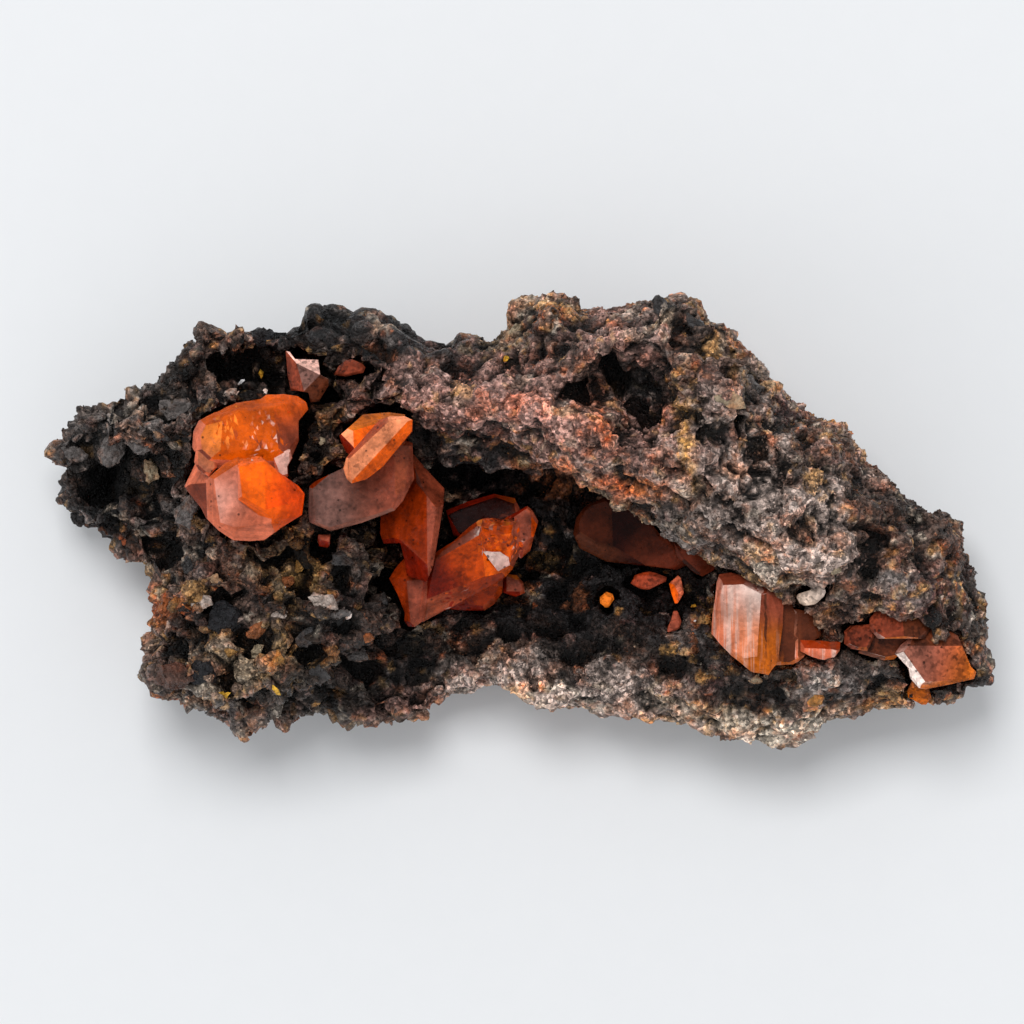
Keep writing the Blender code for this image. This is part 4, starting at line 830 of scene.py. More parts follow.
class CrystalGrowth(Effect):
    """Clouds, pits darkened with painted shade, sugary grains, growth steps and pale stripes painted as sheen
    along the striations, on a crystal's facets.

    Scales are waves or cells per metre. The stripes run along Y and show where the tone is pale.
    """

    name = "crystal_growth"
    inputs = {
        "Tone": (0.6, 0.1, 0.02), "Cloud": 0.5, "Pitting": 0.5, "Gloss": 0.16, "Sugar": 0.0, "Streak": 0.0
    }
    outputs = ("Color", "Roughness", "Height")
    cloud_scale = 520.0
    pit_scale = 1150.0
    sugar_scale = 3600.0
    stripe_scale = 1500.0
    step_scale = 1700.0
    wear_scale = 1100.0
    stripe_sheen_colour = (0.92, 0.66, 0.56)

    def wire(self, shader: Shader, given: object, result: object) -> None:
        """Adds the effect's nodes between its sockets.

        Args:
            shader: the group's tree.
            given: the group's inputs.
            result: the group's outputs.
        """
        waves = shader.span(shader.noise(self.cloud_scale, 5.0, 0.62), 0.34, 0.66, -1.0, 1.0)
        clouds = shader.plus(1.0, shader.times(waves, given["Cloud"], 0.5))
        distance, size, _ = shader.cells(self.pit_scale)
        reach = shader.times(size, shader.times(given["Pitting"], 0.36))
        pit = shader.reckon("LESS_THAN", distance, shader.reckon("SUBTRACT", reach, 0.06))
        _, sparkle, rise = shader.cells(self.sugar_scale)
        grains = shader.times(shader.span(sparkle, 0.0, 1.0, -0.5, 0.8), given["Sugar"])
        # Painted shade: pits darken the colour to 0.28.
        shade = shader.times(shader.plus(clouds, grains), shader.span(pit, 0.0, 1.0, 1.0, 0.28))
        # Painted sheen: pale stripes along the striations, where the tone is pale.
        lengthwise = shader.stretched(1.0, 0.04, 0.04)
        stripes = shader.span(shader.noise(self.stripe_scale, 3.0, 0.7, lengthwise), 0.50, 0.62)
        red = shader.parts(given["Tone"])[0]
        stripes = shader.times(stripes, shader.span(red, 0.45, 0.7), given["Streak"])
        pale = shader.mix(stripes, given["Tone"], self.stripe_sheen_colour)
        level = shader.stretched(0.05, 0.05, 1.0)
        steps = shader.span(shader.noise(self.step_scale, 3.0, 0.65, level), 0.36, 0.64, 0.72, 1.25)
        shader.feed(result["Color"], shader.shaded(pale, shader.times(shade, steps)))
        wear = shader.span(shader.noise(self.wear_scale, 4.0, 0.7), 0.4, 0.7, 0.0, 0.28)
        shader.feed(result["Roughness"], shader.plus(given["Gloss"], wear))
        ripples = shader.noise(self.stripe_scale, 3.0, 0.6)
        rises = shader.times(rise, given["Sugar"], 1.6)
        shader.feed(result["Height"], shader.plus(ripples, shader.times(pit, -1.2), rises))


def new_material(name: str) -> tuple[bpy.types.Material, Shader, bpy.types.Node]:
    """A new material with a Principled shader.

    Args:
        name: its name.

    Returns:
        The material, its tree and the Principled node.
    """
    material = bpy.data.materials.new(name)
    material.use_nodes = True
    return material, Shader(material.node_tree), material.node_tree.nodes["Principled BSDF"]


@dataclass(frozen=True)
class RockFinish:
    """Porous rock: mottled by its painted tone, with painted shade in the hollows, painted highlights on the
    crests and glints on some grains.
    """

    name: str
    glint: float = 0.3
    contrast: float = 1.0
    grain: float = 3300.0

    def build(self) -> bpy.types.Material:
        """Makes the material.

        Returns:
            The material.
        """
        material, shader, body = new_material(self.name)
        stone = shader.effect(
            StoneGrain().tree(),
            tone=shader.attribute("tone").outputs["Color"],
            # The hollow attribute carries the painted shade in pits and painted highlights on crests.
            hollow=shader.attribute("hollow").outputs["Fac"],
            grain=self.grain,
            contrast=self.contrast,
            glint=self.glint,
        )
        shader.feed(body.inputs["Base Color"], stone.outputs["Color"])
        shader.feed(body.inputs["Roughness"], stone.outputs["Roughness"])
        shader.feed(body.inputs["Normal"], shader.bump(stone.outputs["Height"], 1.0, 0.00028))
        return material


@dataclass
class Rock:
    """The gossan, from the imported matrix: its skin with lumps, pits and tipped facets.

    Lengths are millimetres: the skin's mesh width, how far it is drawn in, how deep the cracks and pits
    go, and how far the knobs, crests and the right end's fibres stand out.
    """

    node: bpy.types.Object
    voxel: float = 0.27
    limit: int = 196_000
    inset: float = 0.5
    crack: float = 0.6
    knob: float = 1.2
    crest: float = 0.85
    pit: float = 1.0
    fibre: float = 0.35

    def build(self) -> bpy.types.Object:
        """Makes the skin.

        Returns:
            The finished object, painted but without a material.
        """
        skin = new_object("rock_skin", self.node.data.copy())
        skin.data.materials.clear()
        modifier = skin.modifiers.new("skin", "REMESH")
        modifier.mode = "VOXEL"
        modifier.voxel_size = self.voxel * MM
        apply_all(skin)
        self.weather(skin.data)
        triangles = sum(len(p.vertices) - 2 for p in skin.data.polygons)
        if triangles > self.limit:
            thin = skin.modifiers.new("thin", "DECIMATE")
            thin.ratio = self.limit / triangles
            thin.use_collapse_triangulate = True
            apply_all(skin)
        self.colour(skin.data)
        return skin

    def weather(self, mesh: bpy.types.Mesh) -> None:
        """Roughens the skin, and leaves the flat base alone.

        Args:
            mesh: the skin.
        """
        places = points_of(mesh)
        ground = places[:, :2] - MIDDLE
        grip = ramp(places[:, 2], 0.05, 2.5)
        shift = self.lumps(places) + self.crests(places)
        top = 1 - ramp(oval_reach(ground, TOP_KNOBS), 0.7, 1.1)
        shift = shift * (1 - 0.8 * top) + top * (knobs(places, 2.7, 1.5, 9) + 0.2)
        shift += 0.3 * layered_noise(places, 0.9, 33, 3)
        shift += self.fibre * smooth_noise(places * (0.2, 1, 1), 0.8, 35) * ramp(places[:, 0], 22, 30)
        sway = np.stack([layered_noise(places, 1.8, seed, 3) for seed in (511, 512)], axis=1) * 0.55
        for dent in VOIDS + TRIMS:
            shift -= dent.depth * (1 - ramp(oval_reach(ground + sway, dent), 0.3, 1.1))
        move_points(mesh, places + normals_of(mesh) * (shift * grip)[:, None])

    def lumps(self, places: np.ndarray) -> np.ndarray:
        """The lumps and the cracks between them, strongest at the lower left.

        Args:
            places: points in millimetres, one per row.

        Returns:
            How far the skin stands out there.
        """
        left = left_side(places)
        lower = 1 - ramp(places[:, 1], -4, 1)
        shelf = (1 - ramp(places[:, 1], -6, -1)) * ramp(places[:, 0], -10, -2)
        shift = crags(places, LUMP, 1.0, LUMP_SEED) * 0.4
        shift += (knobs(places, 2.4, self.knob, 25) * (1 + 0.6 * lower) + knobs(places, 1.05, 0.4, 27)) * left
        cells = honeycomb(places, LUMP, LUMP_SEED)
        split = 1 - ramp(cells.second - cells.near, 0.05, 0.38)
        return shift - self.crack * split * (0.5 + 0.5 * left) * (1 - shelf) - self.inset

    def crests(self, places: np.ndarray) -> np.ndarray:
        """The tipped facets, crests and pits, strongest on the ridge.

        Args:
            places: points in millimetres, one per row.

        Returns:
            How far the skin stands out there.
        """
        left = left_side(places)
        ridge = ramp(places[:, 1] + 0.35 * places[:, 0], 4, 9)
        shift = crags(places, 1.3, 0.5, 5) * (0.35 + 0.15 * left)
        shift += crags(places, 0.7, 0.3, 7) * (0.6 - 0.2 * left)
        waves = layered_noise(places * (0.7, 1.0, 1.0), 4.6, 15, 4)
        shift += self.crest * (1 - 2 * np.abs(waves)) * (1 - 0.75 * left)
        pits = layered_noise(places, 2.4, 21, 4)
        return shift - self.pit * ramp(pits, 0.22, 0.6) * (0.35 + 0.3 * ridge + 0.2 * left)

    def colour(self, mesh: bpy.types.Mesh) -> None:
        """Paints the tone, and the hollows, small and large, which set the painted shade in pits and painted
        highlights on crests.

        Args:
            mesh: the weathered skin.
        """
        places = points_of(mesh)
        ways = normals_of(mesh)
        smooth = settled_mean(mesh, places, 14)
        even = settled_mean(mesh, smooth, 60)
        sink = ramp(-np.sum((places - smooth) * ways, axis=1), -0.4, 0.4)
        valley = ramp(-np.sum((smooth - even) * ways, axis=1), -0.5, 0.5)
        # Painted shade and highlight: hollows come out darker and crests lighter in the stone_grain group.
        paint(mesh, "hollow", np.clip(sink * 2 - 1 + valley * 0.8 - 0.4, -1, 1))
        paint(mesh, "tone", rock_tone(places))


def hull(corners: np.ndarray) -> bmesh.types.BMesh:
    """The convex hull around some corners.

    Args:
        corners: their positions, one per row.

    Returns:
        The hull.
    """
    bm = bmesh.new()
    for corner in corners:
        bm.verts.new(corner)
    found = bmesh.ops.convex_hull(bm, input=bm.verts)
    inside = [item for item in found["geom_interior"] if isinstance(item, bmesh.types.BMVert)]
    bmesh.ops.delete(bm, geom=inside, context="VERTS")
    return bm


def arrays_of(bm: bmesh.types.BMesh) -> tuple[np.ndarray, np.ndarray]:
    """Turns a closed shell of triangles into arrays and frees it.

    Args:
        bm: the shell.

    Returns:
        Corner positions and triangles.
    """
    bmesh.ops.recalc_face_normals(bm, faces=bm.faces)
    bm.verts.index_update()
    corners = np.array([v.co[:] for v in bm.verts])
    faces = np.array([[v.index for v in f.verts] for f in bm.faces])
    bm.free()
    return corners, faces


@dataclass
class Crust:
    """Loose-looking grains grown on the rock in one region.

    Sizes are radii in millimetres, centre and reach an oval seen from above. Sunk is how deep a grain
    sits and spare how far it keeps off the crystals, the first in its own radii. Tints are the
    smallest and largest shade against the rock's own.
    """

    name: str
    skin: bpy.types.Object
    keep_out: BVHTree
    count: int
    sizes: tuple[float, float]
    seed: int
    centre: tuple[float, float]
    reach: tuple[float, float]
    turn: float = 0.0
    flatness: float = 0.65
    sides: int = 11
    tints: tuple[float, float] = (0.55, 1.7)
    spare: float = 0.12
    sunk: float = -0.1

    def templates(self, rng: np.random.Generator) -> list[tuple[np.ndarray, np.ndarray]]:
        """Some convex pebbles with flat faces.

        Args:
            rng: the source of random numbers.

        Returns:
            Pairs of corner positions and triangles.
        """
        made = []
        for _ in range(PEBBLE_KINDS):
            corners = rng.normal(size=(self.sides, 3))
            corners /= np.linalg.norm(corners, axis=1)[:, None]
            made.append(arrays_of(hull(corners * (0.8 + 0.2 * rng.random(self.sides))[:, None])))
        return made

    def seats(self, rng: np.random.Generator) -> tuple[np.ndarray, np.ndarray, np.ndarray]:
        """Random spots on the skin inside the region.

        Args:
            rng: the source of random numbers.

        Returns:
            The spots in millimetres, and the skin's normals and hollows there.
        """
        mesh = self.skin.data
        mesh.calc_loop_triangles()
        corners = np.empty(len(mesh.loop_triangles) * 3, dtype=np.int64)
        mesh.loop_triangles.foreach_get("vertices", corners)
        corners = corners.reshape(-1, 3)
        places = points_of(mesh)
        a, b, c = (places[corners[:, k]] for k in (0, 1, 2))
        face = np.cross(b - a, c - a)
        area = np.linalg.norm(face, axis=1)
        middle = (a + b + c) / 3
        away = oval_reach(middle[:, :2], Dent(*self.centre, *self.reach, self.turn, 0.0))
        fade = 1 - ramp(away + 0.12 * layered_noise(middle, 3.0, self.seed, 2), 0.85, 1.1)
        weight = area * fade * (middle[:, 2] > 2.0)
        for oval in VOIDS + BARE:
            weight *= 0.06 + 0.94 * ramp(oval_reach(middle[:, :2] - MIDDLE, oval), 0.75, 1.0)
        chosen = rng.choice(len(area), self.count, p=weight / weight.sum())
        u, v = rng.random((2, self.count))
        flip = u + v > 1
        u, v = np.where(flip, 1 - u, u), np.where(flip, 1 - v, v)
        spots = a[chosen] + (b - a)[chosen] * u[:, None] + (c - a)[chosen] * v[:, None]
        hollow = np.empty(len(places), np.float32)
        mesh.attributes["hollow"].data.foreach_get("value", hollow)
        return spots, face[chosen] / area[chosen][:, None].clip(1e-9), hollow[corners[chosen, 0]]

    def build(self) -> bpy.types.Object:
        """Scatters the grains.

        Returns:
            One object with all the region's grains, painted.
        """
        rng = np.random.default_rng(self.seed)
        pebbles = self.templates(rng)
        spots, normals, hollows = self.seats(rng)
        low, high = self.sizes
        radii = low + (high - low) * rng.random(len(spots)) ** 2.2
        free = np.array([self.clear(spot, radius) for spot, radius in zip(spots, radii)])
        spots, normals, radii, hollows = spots[free], normals[free], radii[free], hollows[free]
        tone = rock_tone(spots)
        tone *= np.exp(rng.uniform(*np.log(self.tints), len(spots)))[:, None]
        all_points, all_faces, all_tones, all_hollows, start = [], [], [], [], 0
        kinds = rng.integers(len(pebbles), size=len(spots))
        for kind, (corners, faces) in enumerate(pebbles):
            mine = kinds == kind
            count = int(mine.sum())
            frames = self.frames(rng, normals[mine])
            squash = [np.ones(count), rng.uniform(0.6, 1, count), rng.uniform(self.flatness, 1, count)]
            local = corners[None] * (np.stack(squash, 1) * radii[mine][:, None])[:, None, :]
            feet = spots[mine] - normals[mine] * radii[mine][:, None] * self.sunk
            world = np.einsum("nij,nkj->nki", frames, local) + feet[:, None]
            all_points.append(world.reshape(-1, 3))
            shift = start + np.arange(count)[:, None, None] * len(corners)
            all_faces.append((faces[None] + shift).reshape(-1, 3))
            all_tones.append(np.repeat(tone[mine], len(corners), axis=0))
            # Painted shade: grains take the skin's hollow at their seat, so those in gaps come out darker.
            all_hollows.append(np.repeat(0.6 * hollows[mine] + GRAIN_HOLLOW, len(corners)))
            start += count * len(corners)
        mesh = bpy.data.meshes.new(self.name)
        points, faces = np.concatenate(all_points), np.concatenate(all_faces)
        mesh.vertices.add(len(points))
        mesh.vertices.foreach_set("co", (points * MM).ravel())
        mesh.loops.add(faces.size)
        mesh.loops.foreach_set("vertex_index", faces.ravel())
        mesh.polygons.add(len(faces))
        mesh.polygons.foreach_set("loop_start", np.arange(len(faces)) * 3)
        mesh.update(calc_edges=True)
        mesh.validate()
        paint(mesh, "tone", np.concatenate(all_tones))
        paint(mesh, "hollow", np.concatenate(all_hollows))
        return new_object(self.name, mesh)

    def clear(self, spot: np.ndarray, radius: float) -> bool:
        """Whether a grain at the spot stays off the crystals."""
        gap = self.keep_out.find_nearest(Vector(spot) * MM)[3]
        return gap / MM > radius * 0.75 + self.spare

    def frames(self, rng: np.random.Generator, normals: np.ndarray) -> np.ndarray:
        """Random frames whose third axis leans around the given normals.

        Args:
            rng: the source of random numbers.
            normals: one direction per row.

        Returns:
            One 3 by 3 matrix per row, with the axes as columns.
        """
        up = normals + rng.normal(scale=0.45, size=normals.shape)
        up /= np.linalg.norm(up, axis=1)[:, None]
        side = np.cross(up, rng.normal(size=up.shape))
        side /= np.linalg.norm(side, axis=1)[:, None]
        return np.stack([side, np.cross(up, side), up], axis=2)


class Chip(Enum):
    """The colours of the stones and chips that stand out on the rock."""

    WHITE = (0.90, 0.88, 0.88)
    PALE = (0.36, 0.29, 0.25)
    TAN = (0.30, 0.235, 0.155)
    GOLD = (0.62, 0.34, 0.035)
    OCHRE = (0.34, 0.175, 0.050)
    RUST = (0.24, 0.080, 0.028)
    BROWN = (0.085, 0.045, 0.034)
    GREY = (0.115, 0.100, 0.094)
    SLATE = (0.045, 0.042, 0.042)
    SOOT = (0.012, 0.012, 0.014)


@dataclass(frozen=True)
class Nugget:
    """One stone or chip that stands out, seen from above."""

    x: float
    y: float
    length: float
    width: float
    turn: float
    chip: Chip
    height: float = 0.7


NUGGETS = [
    Nugget(-16.4, -9.0, 0.9, 0.6, 60, Chip.WHITE), Nugget(-33.6, -9.9, 1.3, 0.9, 30, Chip.PALE),
    Nugget(-29.2, -5.7, 1.7, 1.5, 0, Chip.TAN), Nugget(-22.6, -6.5, 0.7, 0.4, 70, Chip.WHITE),
    Nugget(-21.9, -6.9, 0.4, 0.3, 0, Chip.WHITE), Nugget(-28.3, -16.8, 1.7, 1.1, 20, Chip.GOLD),
    Nugget(-23.3, -16.0, 1.5, 0.8, -50, Chip.GOLD), Nugget(-23.2, -13.2, 1.4, 2.0, -20, Chip.OCHRE),
    Nugget(-25.0, -12.6, 1.6, 1.8, 10, Chip.TAN), Nugget(-27.7, -12.5, 1.3, 1.0, 0, Chip.OCHRE),
    Nugget(-14.6, -11.1, 1.7, 1.1, -50, Chip.RUST), Nugget(-33.4, -14.7, 4.4, 2.9, -8, Chip.BROWN, 0.9),
    Nugget(-30.3, -14.5, 2.8, 2.9, 30, Chip.SOOT), Nugget(-34.0, -7.9, 2.2, 2.5, 0, Chip.RUST),
    Nugget(-28.3, -9.2, 3.8, 3.4, 20, Chip.SOOT), Nugget(-25.1, -10.4, 2.4, 1.5, 40, Chip.RUST),
    Nugget(-30.4, -7.9, 2.4, 1.7, 30, Chip.PALE), Nugget(-18.8, -7.4, 3.2, 2.0, -30, Chip.PALE),
    Nugget(-17.2, -8.8, 2.0, 1.2, 10, Chip.GREY), Nugget(-21.0, -4.0, 2.8, 1.0, 62, Chip.OCHRE),
    Nugget(-22.4, -5.9, 2.0, 1.3, 30, Chip.RUST), Nugget(-17.0, -3.6, 2.4, 1.8, 0, Chip.SLATE),
    Nugget(-13.6, -7.6, 2.2, 1.6, 0, Chip.SLATE), Nugget(-20.6, -11.0, 2.6, 2.0, 10, Chip.SLATE),
    Nugget(-15.8, -12.8, 3.0, 1.4, -10, Chip.GREY), Nugget(-19.4, -14.6, 3.0, 2.0, 0, Chip.SLATE),
    Nugget(-23.0, -9.0, 1.5, 1.1, 0, Chip.PALE), Nugget(-31.6, -4.2, 2.2, 1.8, 40, Chip.SLATE),
    Nugget(-26.9, 13.3, 1.0, 0.45, 35, Chip.WHITE, 0.3), Nugget(-24.5, 12.3, 0.9, 0.6, 80, Chip.WHITE, 0.3),
    Nugget(-25.0, 14.1, 0.6, 1.0, -15, Chip.GOLD), Nugget(-39.1, 7.0, 4.4, 2.6, 65, Chip.GREY),
    Nugget(-36.3, 7.3, 3.0, 2.7, 0, Chip.GREY), Nugget(-35.5, 4.8, 1.6, 2.6, 20, Chip.TAN),
    Nugget(-31.8, 0.9, 3.0, 3.6, 10, Chip.GREY), Nugget(-32.9, 11.0, 4.0, 2.6, 10, Chip.GREY),
    Nugget(-27.7, 12.1, 2.0, 1.2, 20, Chip.PALE), Nugget(-24.6, 17.6, 2.6, 2.0, 0, Chip.SOOT),
    Nugget(-29.6, 8.6, 2.0, 2.4, 0, Chip.TAN), Nugget(-34.2, 8.3, 2.0, 1.6, 0, Chip.SLATE),
    Nugget(-42.8, 6.6, 2.8, 1.8, -30, Chip.GREY), Nugget(-42.6, 0.2, 2.6, 1.8, 20, Chip.SLATE),
    Nugget(-19.0, 7.6, 0.9, 0.9, 0, Chip.TAN), Nugget(16.6, -8.2, 0.6, 0.6, 0, Chip.GOLD),
    Nugget(16.7, -9.6, 0.35, 0.3, 0, Chip.WHITE), Nugget(10.3, -4.7, 0.4, 0.3, 0, Chip.WHITE),
    Nugget(18.3, -6.8, 0.4, 0.35, 0, Chip.WHITE), Nugget(29.8, -4.5, 1.3, 1.0, 20, Chip.TAN),
    Nugget(34.0, -14.5, 1.2, 0.8, 20, Chip.PALE), Nugget(-1.5, 15.5, 0.9, 0.6, 0, Chip.GOLD),
    Nugget(13.4, 20.4, 2.6, 2.0, -50, Chip.SLATE), Nugget(16.6, 18.6, 3.0, 1.4, -45, Chip.SLATE),
    Nugget(22.2, 12.6, 3.4, 2.2, -30, Chip.GREY), Nugget(19.8, 11.4, 3.4, 1.6, -12, Chip.TAN),
    Nugget(-1.2, 17.4, 1.6, 3.6, -35, Chip.TAN), Nugget(27.0, -20.6, 3.4, 1.2, 0, Chip.PALE),
    Nugget(22.4, -15.0, 1.6, 1.2, 0, Chip.TAN), Nugget(28.2, -17.2, 1.8, 1.2, 20, Chip.OCHRE),
]


@dataclass
class Nuggets:
    """The stones and chips that stand out, each seated on the rock."""

    skin: bpy.types.Object
    rows: list[Nugget]
    seed: int = 67
    corners: int = 15

    def build(self) -> bpy.types.Object:
        """Makes them all in one mesh.

        Returns:
            The object, painted.
        """
        rng = np.random.default_rng(self.seed)
        mesh = self.skin.data
        seat = BVHTree.FromPolygons([v.co for v in mesh.vertices], [p.vertices for p in mesh.polygons])
        bm = bmesh.new()
        layer = bm.verts.layers.float_color.new("tone")
        for row in self.rows:
            place = Vector((row.x + MIDDLE[0], row.y + MIDDLE[1], 60)) * MM
            steps = ((0, 0, 0), (1, 1, 0), (-1, 1, 0), (0, -1, 0))
            tries = [place + Vector(step) * 0.3 * MM for step in steps]
            found = [seat.ray_cast(spot, Vector((0, 0, -1)))[0] for spot in tries]
            top = np.mean([spot.z for spot in found if spot]) if any(found) else 5 * MM
            stone = self.stone(rng, row)
            lift = 0.1 * row.height * min(row.length, row.width)
            centre = np.array([place.x, place.y, top]) / MM + (0, 0, lift)
            verts = [bm.verts.new((centre + corner) * MM) for corner in stone[0]]
            for vert in verts:
                vert[layer] = (*row.chip.value, 1.0)
            for face in stone[1]:
                bm.faces.new([verts[k] for k in face])
        made = bpy.data.meshes.new("nuggets")
        bm.to_mesh(made)
        bm.free()
        # Painted highlight: the even-ground hollow lights the stones a little.
        paint(made, "hollow", np.full(len(made.vertices), GRAIN_HOLLOW))
        return new_object("nuggets", made)

    def stone(self, rng: np.random.Generator, row: Nugget) -> tuple[np.ndarray, np.ndarray]:
        """One faceted stone around the origin.

        Args:
            rng: the source of random numbers.
            row: its sizes.

        Returns:
            Corner positions in millimetres and triangles.
        """
        corners = rng.normal(size=(self.corners, 3))
        bm = hull(corners / np.linalg.norm(corners, axis=1)[:, None])
        small = min(row.length, row.width)
        for _ in range(int(small > 0.5) + int(small > ROUGH_STONE) + int(small > 1.6)):
            bmesh.ops.subdivide_edges(bm, edges=bm.edges, cuts=1, use_grid_fill=True)
        bmesh.ops.triangulate(bm, faces=bm.faces)
        corners, faces = arrays_of(bm)
        corners = corners * (row.length / 2, row.width / 2, row.height * small / 2)
        away = corners / np.linalg.norm(corners, axis=1)[:, None]
        shifted = corners + (row.x, row.y, 0)
        if small > ROUGH_STONE:
            rough = crags(shifted, 0.8, 0.22, 91) + 0.1 * layered_noise(shifted, 0.5, 93, 2)
            corners = corners + away * rough[:, None]
        angle = math.radians(row.turn)
        cos, sin = math.cos(angle), math.sin(angle)
        spin = np.array([[cos, -sin, 0], [sin, cos, 0], [0, 0, 1]])
        return corners @ spin.T, faces


@dataclass
class Studio:
    """The pale floor, the soft lights and the camera over the specimen."""

    middle: tuple[float, float] = (-0.86 + MIDDLE[0], 0.86 + MIDDLE[1])
    focus_height: float = 20.0
    distance: float = 950.0
    lens: float = 351.0

    def build(self) -> None:
        """Makes floor, lights and camera."""
        scene = bpy.context.scene
        scene.view_settings.view_transform = "Standard"
        scene.view_settings.look = "None"
        camera = bpy.data.objects.new("camera", bpy.data.cameras.new("camera"))
        scene.collection.objects.link(camera)
        camera.data.sensor_width = 36.0
        camera.data.lens = self.lens
        camera.data.clip_end = 10.0
        camera.location = Vector((*self.middle, self.focus_height + self.distance)) * MM
        scene.camera = camera
        self.floor()
        self.sky(0.575)
        self.lamp("key", (-0.12, 0.36, 0.92), 2.0, 0.8, 20.0, mirrored=False)
        self.lamp("left_fill", (-0.85, -0.25, 0.45), 2.0, 0.8, 3.5)
        self.lamp("glint", (0.30, 0.90, 0.30), 2.0, 0.3, 1.3)

    def floor(self) -> None:
        """A wide pale floor."""
        mesh = bpy.data.meshes.new("floor")
        mesh.from_pydata([(-2, -2, 0), (2, -2, 0), (2, 2, 0), (-2, 2, 0)], [], [(0, 1, 2, 3)])
        made = new_object("floor", mesh)
        material, shader, body = new_material("floor")
        speckle = shader.span(shader.noise(300.0, 2.0), 0.3, 0.7, 0.0, 1.0)
        colour = shader.mix(speckle, (0.830, 0.845, 0.860), (0.836, 0.851, 0.866))
        shader.feed(body.inputs["Base Color"], colour)
        body.inputs["Roughness"].default_value = 0.9
        body.inputs["Specular IOR Level"].default_value = 0.1
        mesh.materials.append(material)

    def sky(self, strength: float) -> None:
        """An even pale surround.

        Args:
            strength: how bright it is.
        """
        world = bpy.data.worlds.new("studio")
        bpy.context.scene.world = world
        world.use_nodes = True
        background = world.node_tree.nodes["Background"]
        background.inputs["Color"].default_value = (0.97, 0.98, 1.0, 1.0)
        background.inputs["Strength"].default_value = strength

    def lamp(
        self, name: str, way: Colour, distance: float, size: float, power: float, mirrored: bool = True
    ) -> None:
        """A square soft light that points at the specimen.

        Args:
            name: the light's name.
            way: where it stands, as a direction from the specimen.
            distance: how far off, in metres.
            size: its side, in metres.
            power: its power in watts.
            mirrored: whether glossy faces show it.
        """
        light = bpy.data.lights.new(name, "AREA")
        light.size = size
        light.energy = power
        made = bpy.data.objects.new(name, light)
        bpy.context.scene.collection.objects.link(made)
        direction = Vector(way).normalized()
        made.location = direction * distance
        made.visible_glossy = mirrored
        made.visible_transmission = mirrored
        made.rotation_mode = "QUATERNION"
        made.rotation_quaternion = direction.to_track_quat("Z", "Y")


class Tone(Enum):
    """The crystals' colours with painted light among them: SALMON, PEACH, PINK and SUGAR are painted
    reflections of the lamps, the brightest oranges partly painted light shining through, and NIGHT and SEPIA
    painted shade.
    """

    BRIGHT = (0.95, 0.125, 0.003)
    ORANGE = (0.82, 0.105, 0.003)
    FIRE = (0.86, 0.062, 0.001)
    CORNELIAN = (0.62, 0.088, 0.002)
    AMBER = (0.56, 0.120, 0.006)
    FLAME = (0.62, 0.065, 0.002)
    EMBER = (0.32, 0.029, 0.002)
    COPPER = (0.36, 0.075, 0.030)
    BLOOD = (0.20, 0.010, 0.002)
    SALMON = (0.70, 0.165, 0.080)
    PEACH = (0.95, 0.300, 0.130)
    PINK = (0.86, 0.480, 0.390)
    SUGAR = (0.92, 0.740, 0.660)
    MAUVE = (0.300, 0.102, 0.066)
    ASH = (0.200, 0.094, 0.074)
    ROSE = (0.330, 0.070, 0.036)
    RUSSET = (0.230, 0.042, 0.018)
    UMBER = (0.110, 0.026, 0.010)
    SEPIA = (0.060, 0.011, 0.004)
    NIGHT = (0.022, 0.003, 0.002)
    HONEY = (0.95, 0.220, 0.020)
    BISCUIT = (0.62, 0.450, 0.320)


@dataclass(frozen=True)
class Tint:
    """A colour at one spot of a crystal, seen from above, painted reflection and shade included."""

    x: float
    y: float
    tone: Tone


@dataclass(frozen=True)
class CrystalFinish:
    """Resinous crystal: its painted tone with painted reflections, light and shade in it, clouds and pits,
    and light let in a little.
    """

    name: str
    clearness: float = 0.18
    gloss: float = 0.16
    pitting: float = 0.5
    cloud: float = 0.5
    sugar: float = 0.12
    shine: float = 0.12
    streak: float = 0.0
    bend: float = 1.45
    absorbed: Colour = (0.95, 0.22, 0.03)
    density: float = 220.0

    def build(self) -> bpy.types.Material:
        """Makes the material.

        Returns:
            The material.
        """
        material, shader, body = new_material(self.name)
        growth = shader.effect(
            CrystalGrowth().tree(),
            tone=shader.attribute("tone").outputs["Color"],
            cloud=self.cloud,
            pitting=self.pitting,
            gloss=self.gloss,
            sugar=self.sugar,
            streak=self.streak,
        )
        shader.feed(body.inputs["Base Color"], growth.outputs["Color"])
        shader.feed(body.inputs["Roughness"], growth.outputs["Roughness"])
        shader.feed(body.inputs["Normal"], shader.bump(growth.outputs["Height"], 0.3, 0.00006))
        body.inputs["IOR"].default_value = self.bend
        body.inputs["Specular IOR Level"].default_value = self.shine
        body.inputs["Transmission Weight"].default_value = self.clearness
        volume = shader.node("ShaderNodeVolumeAbsorption")
        volume.inputs["Color"].default_value = (*self.absorbed, 1.0)
        volume.inputs["Density"].default_value = self.density
        out = material.node_tree.nodes["Material Output"]
        material.node_tree.links.new(volume.outputs[0], out.inputs["Volume"])
        return material


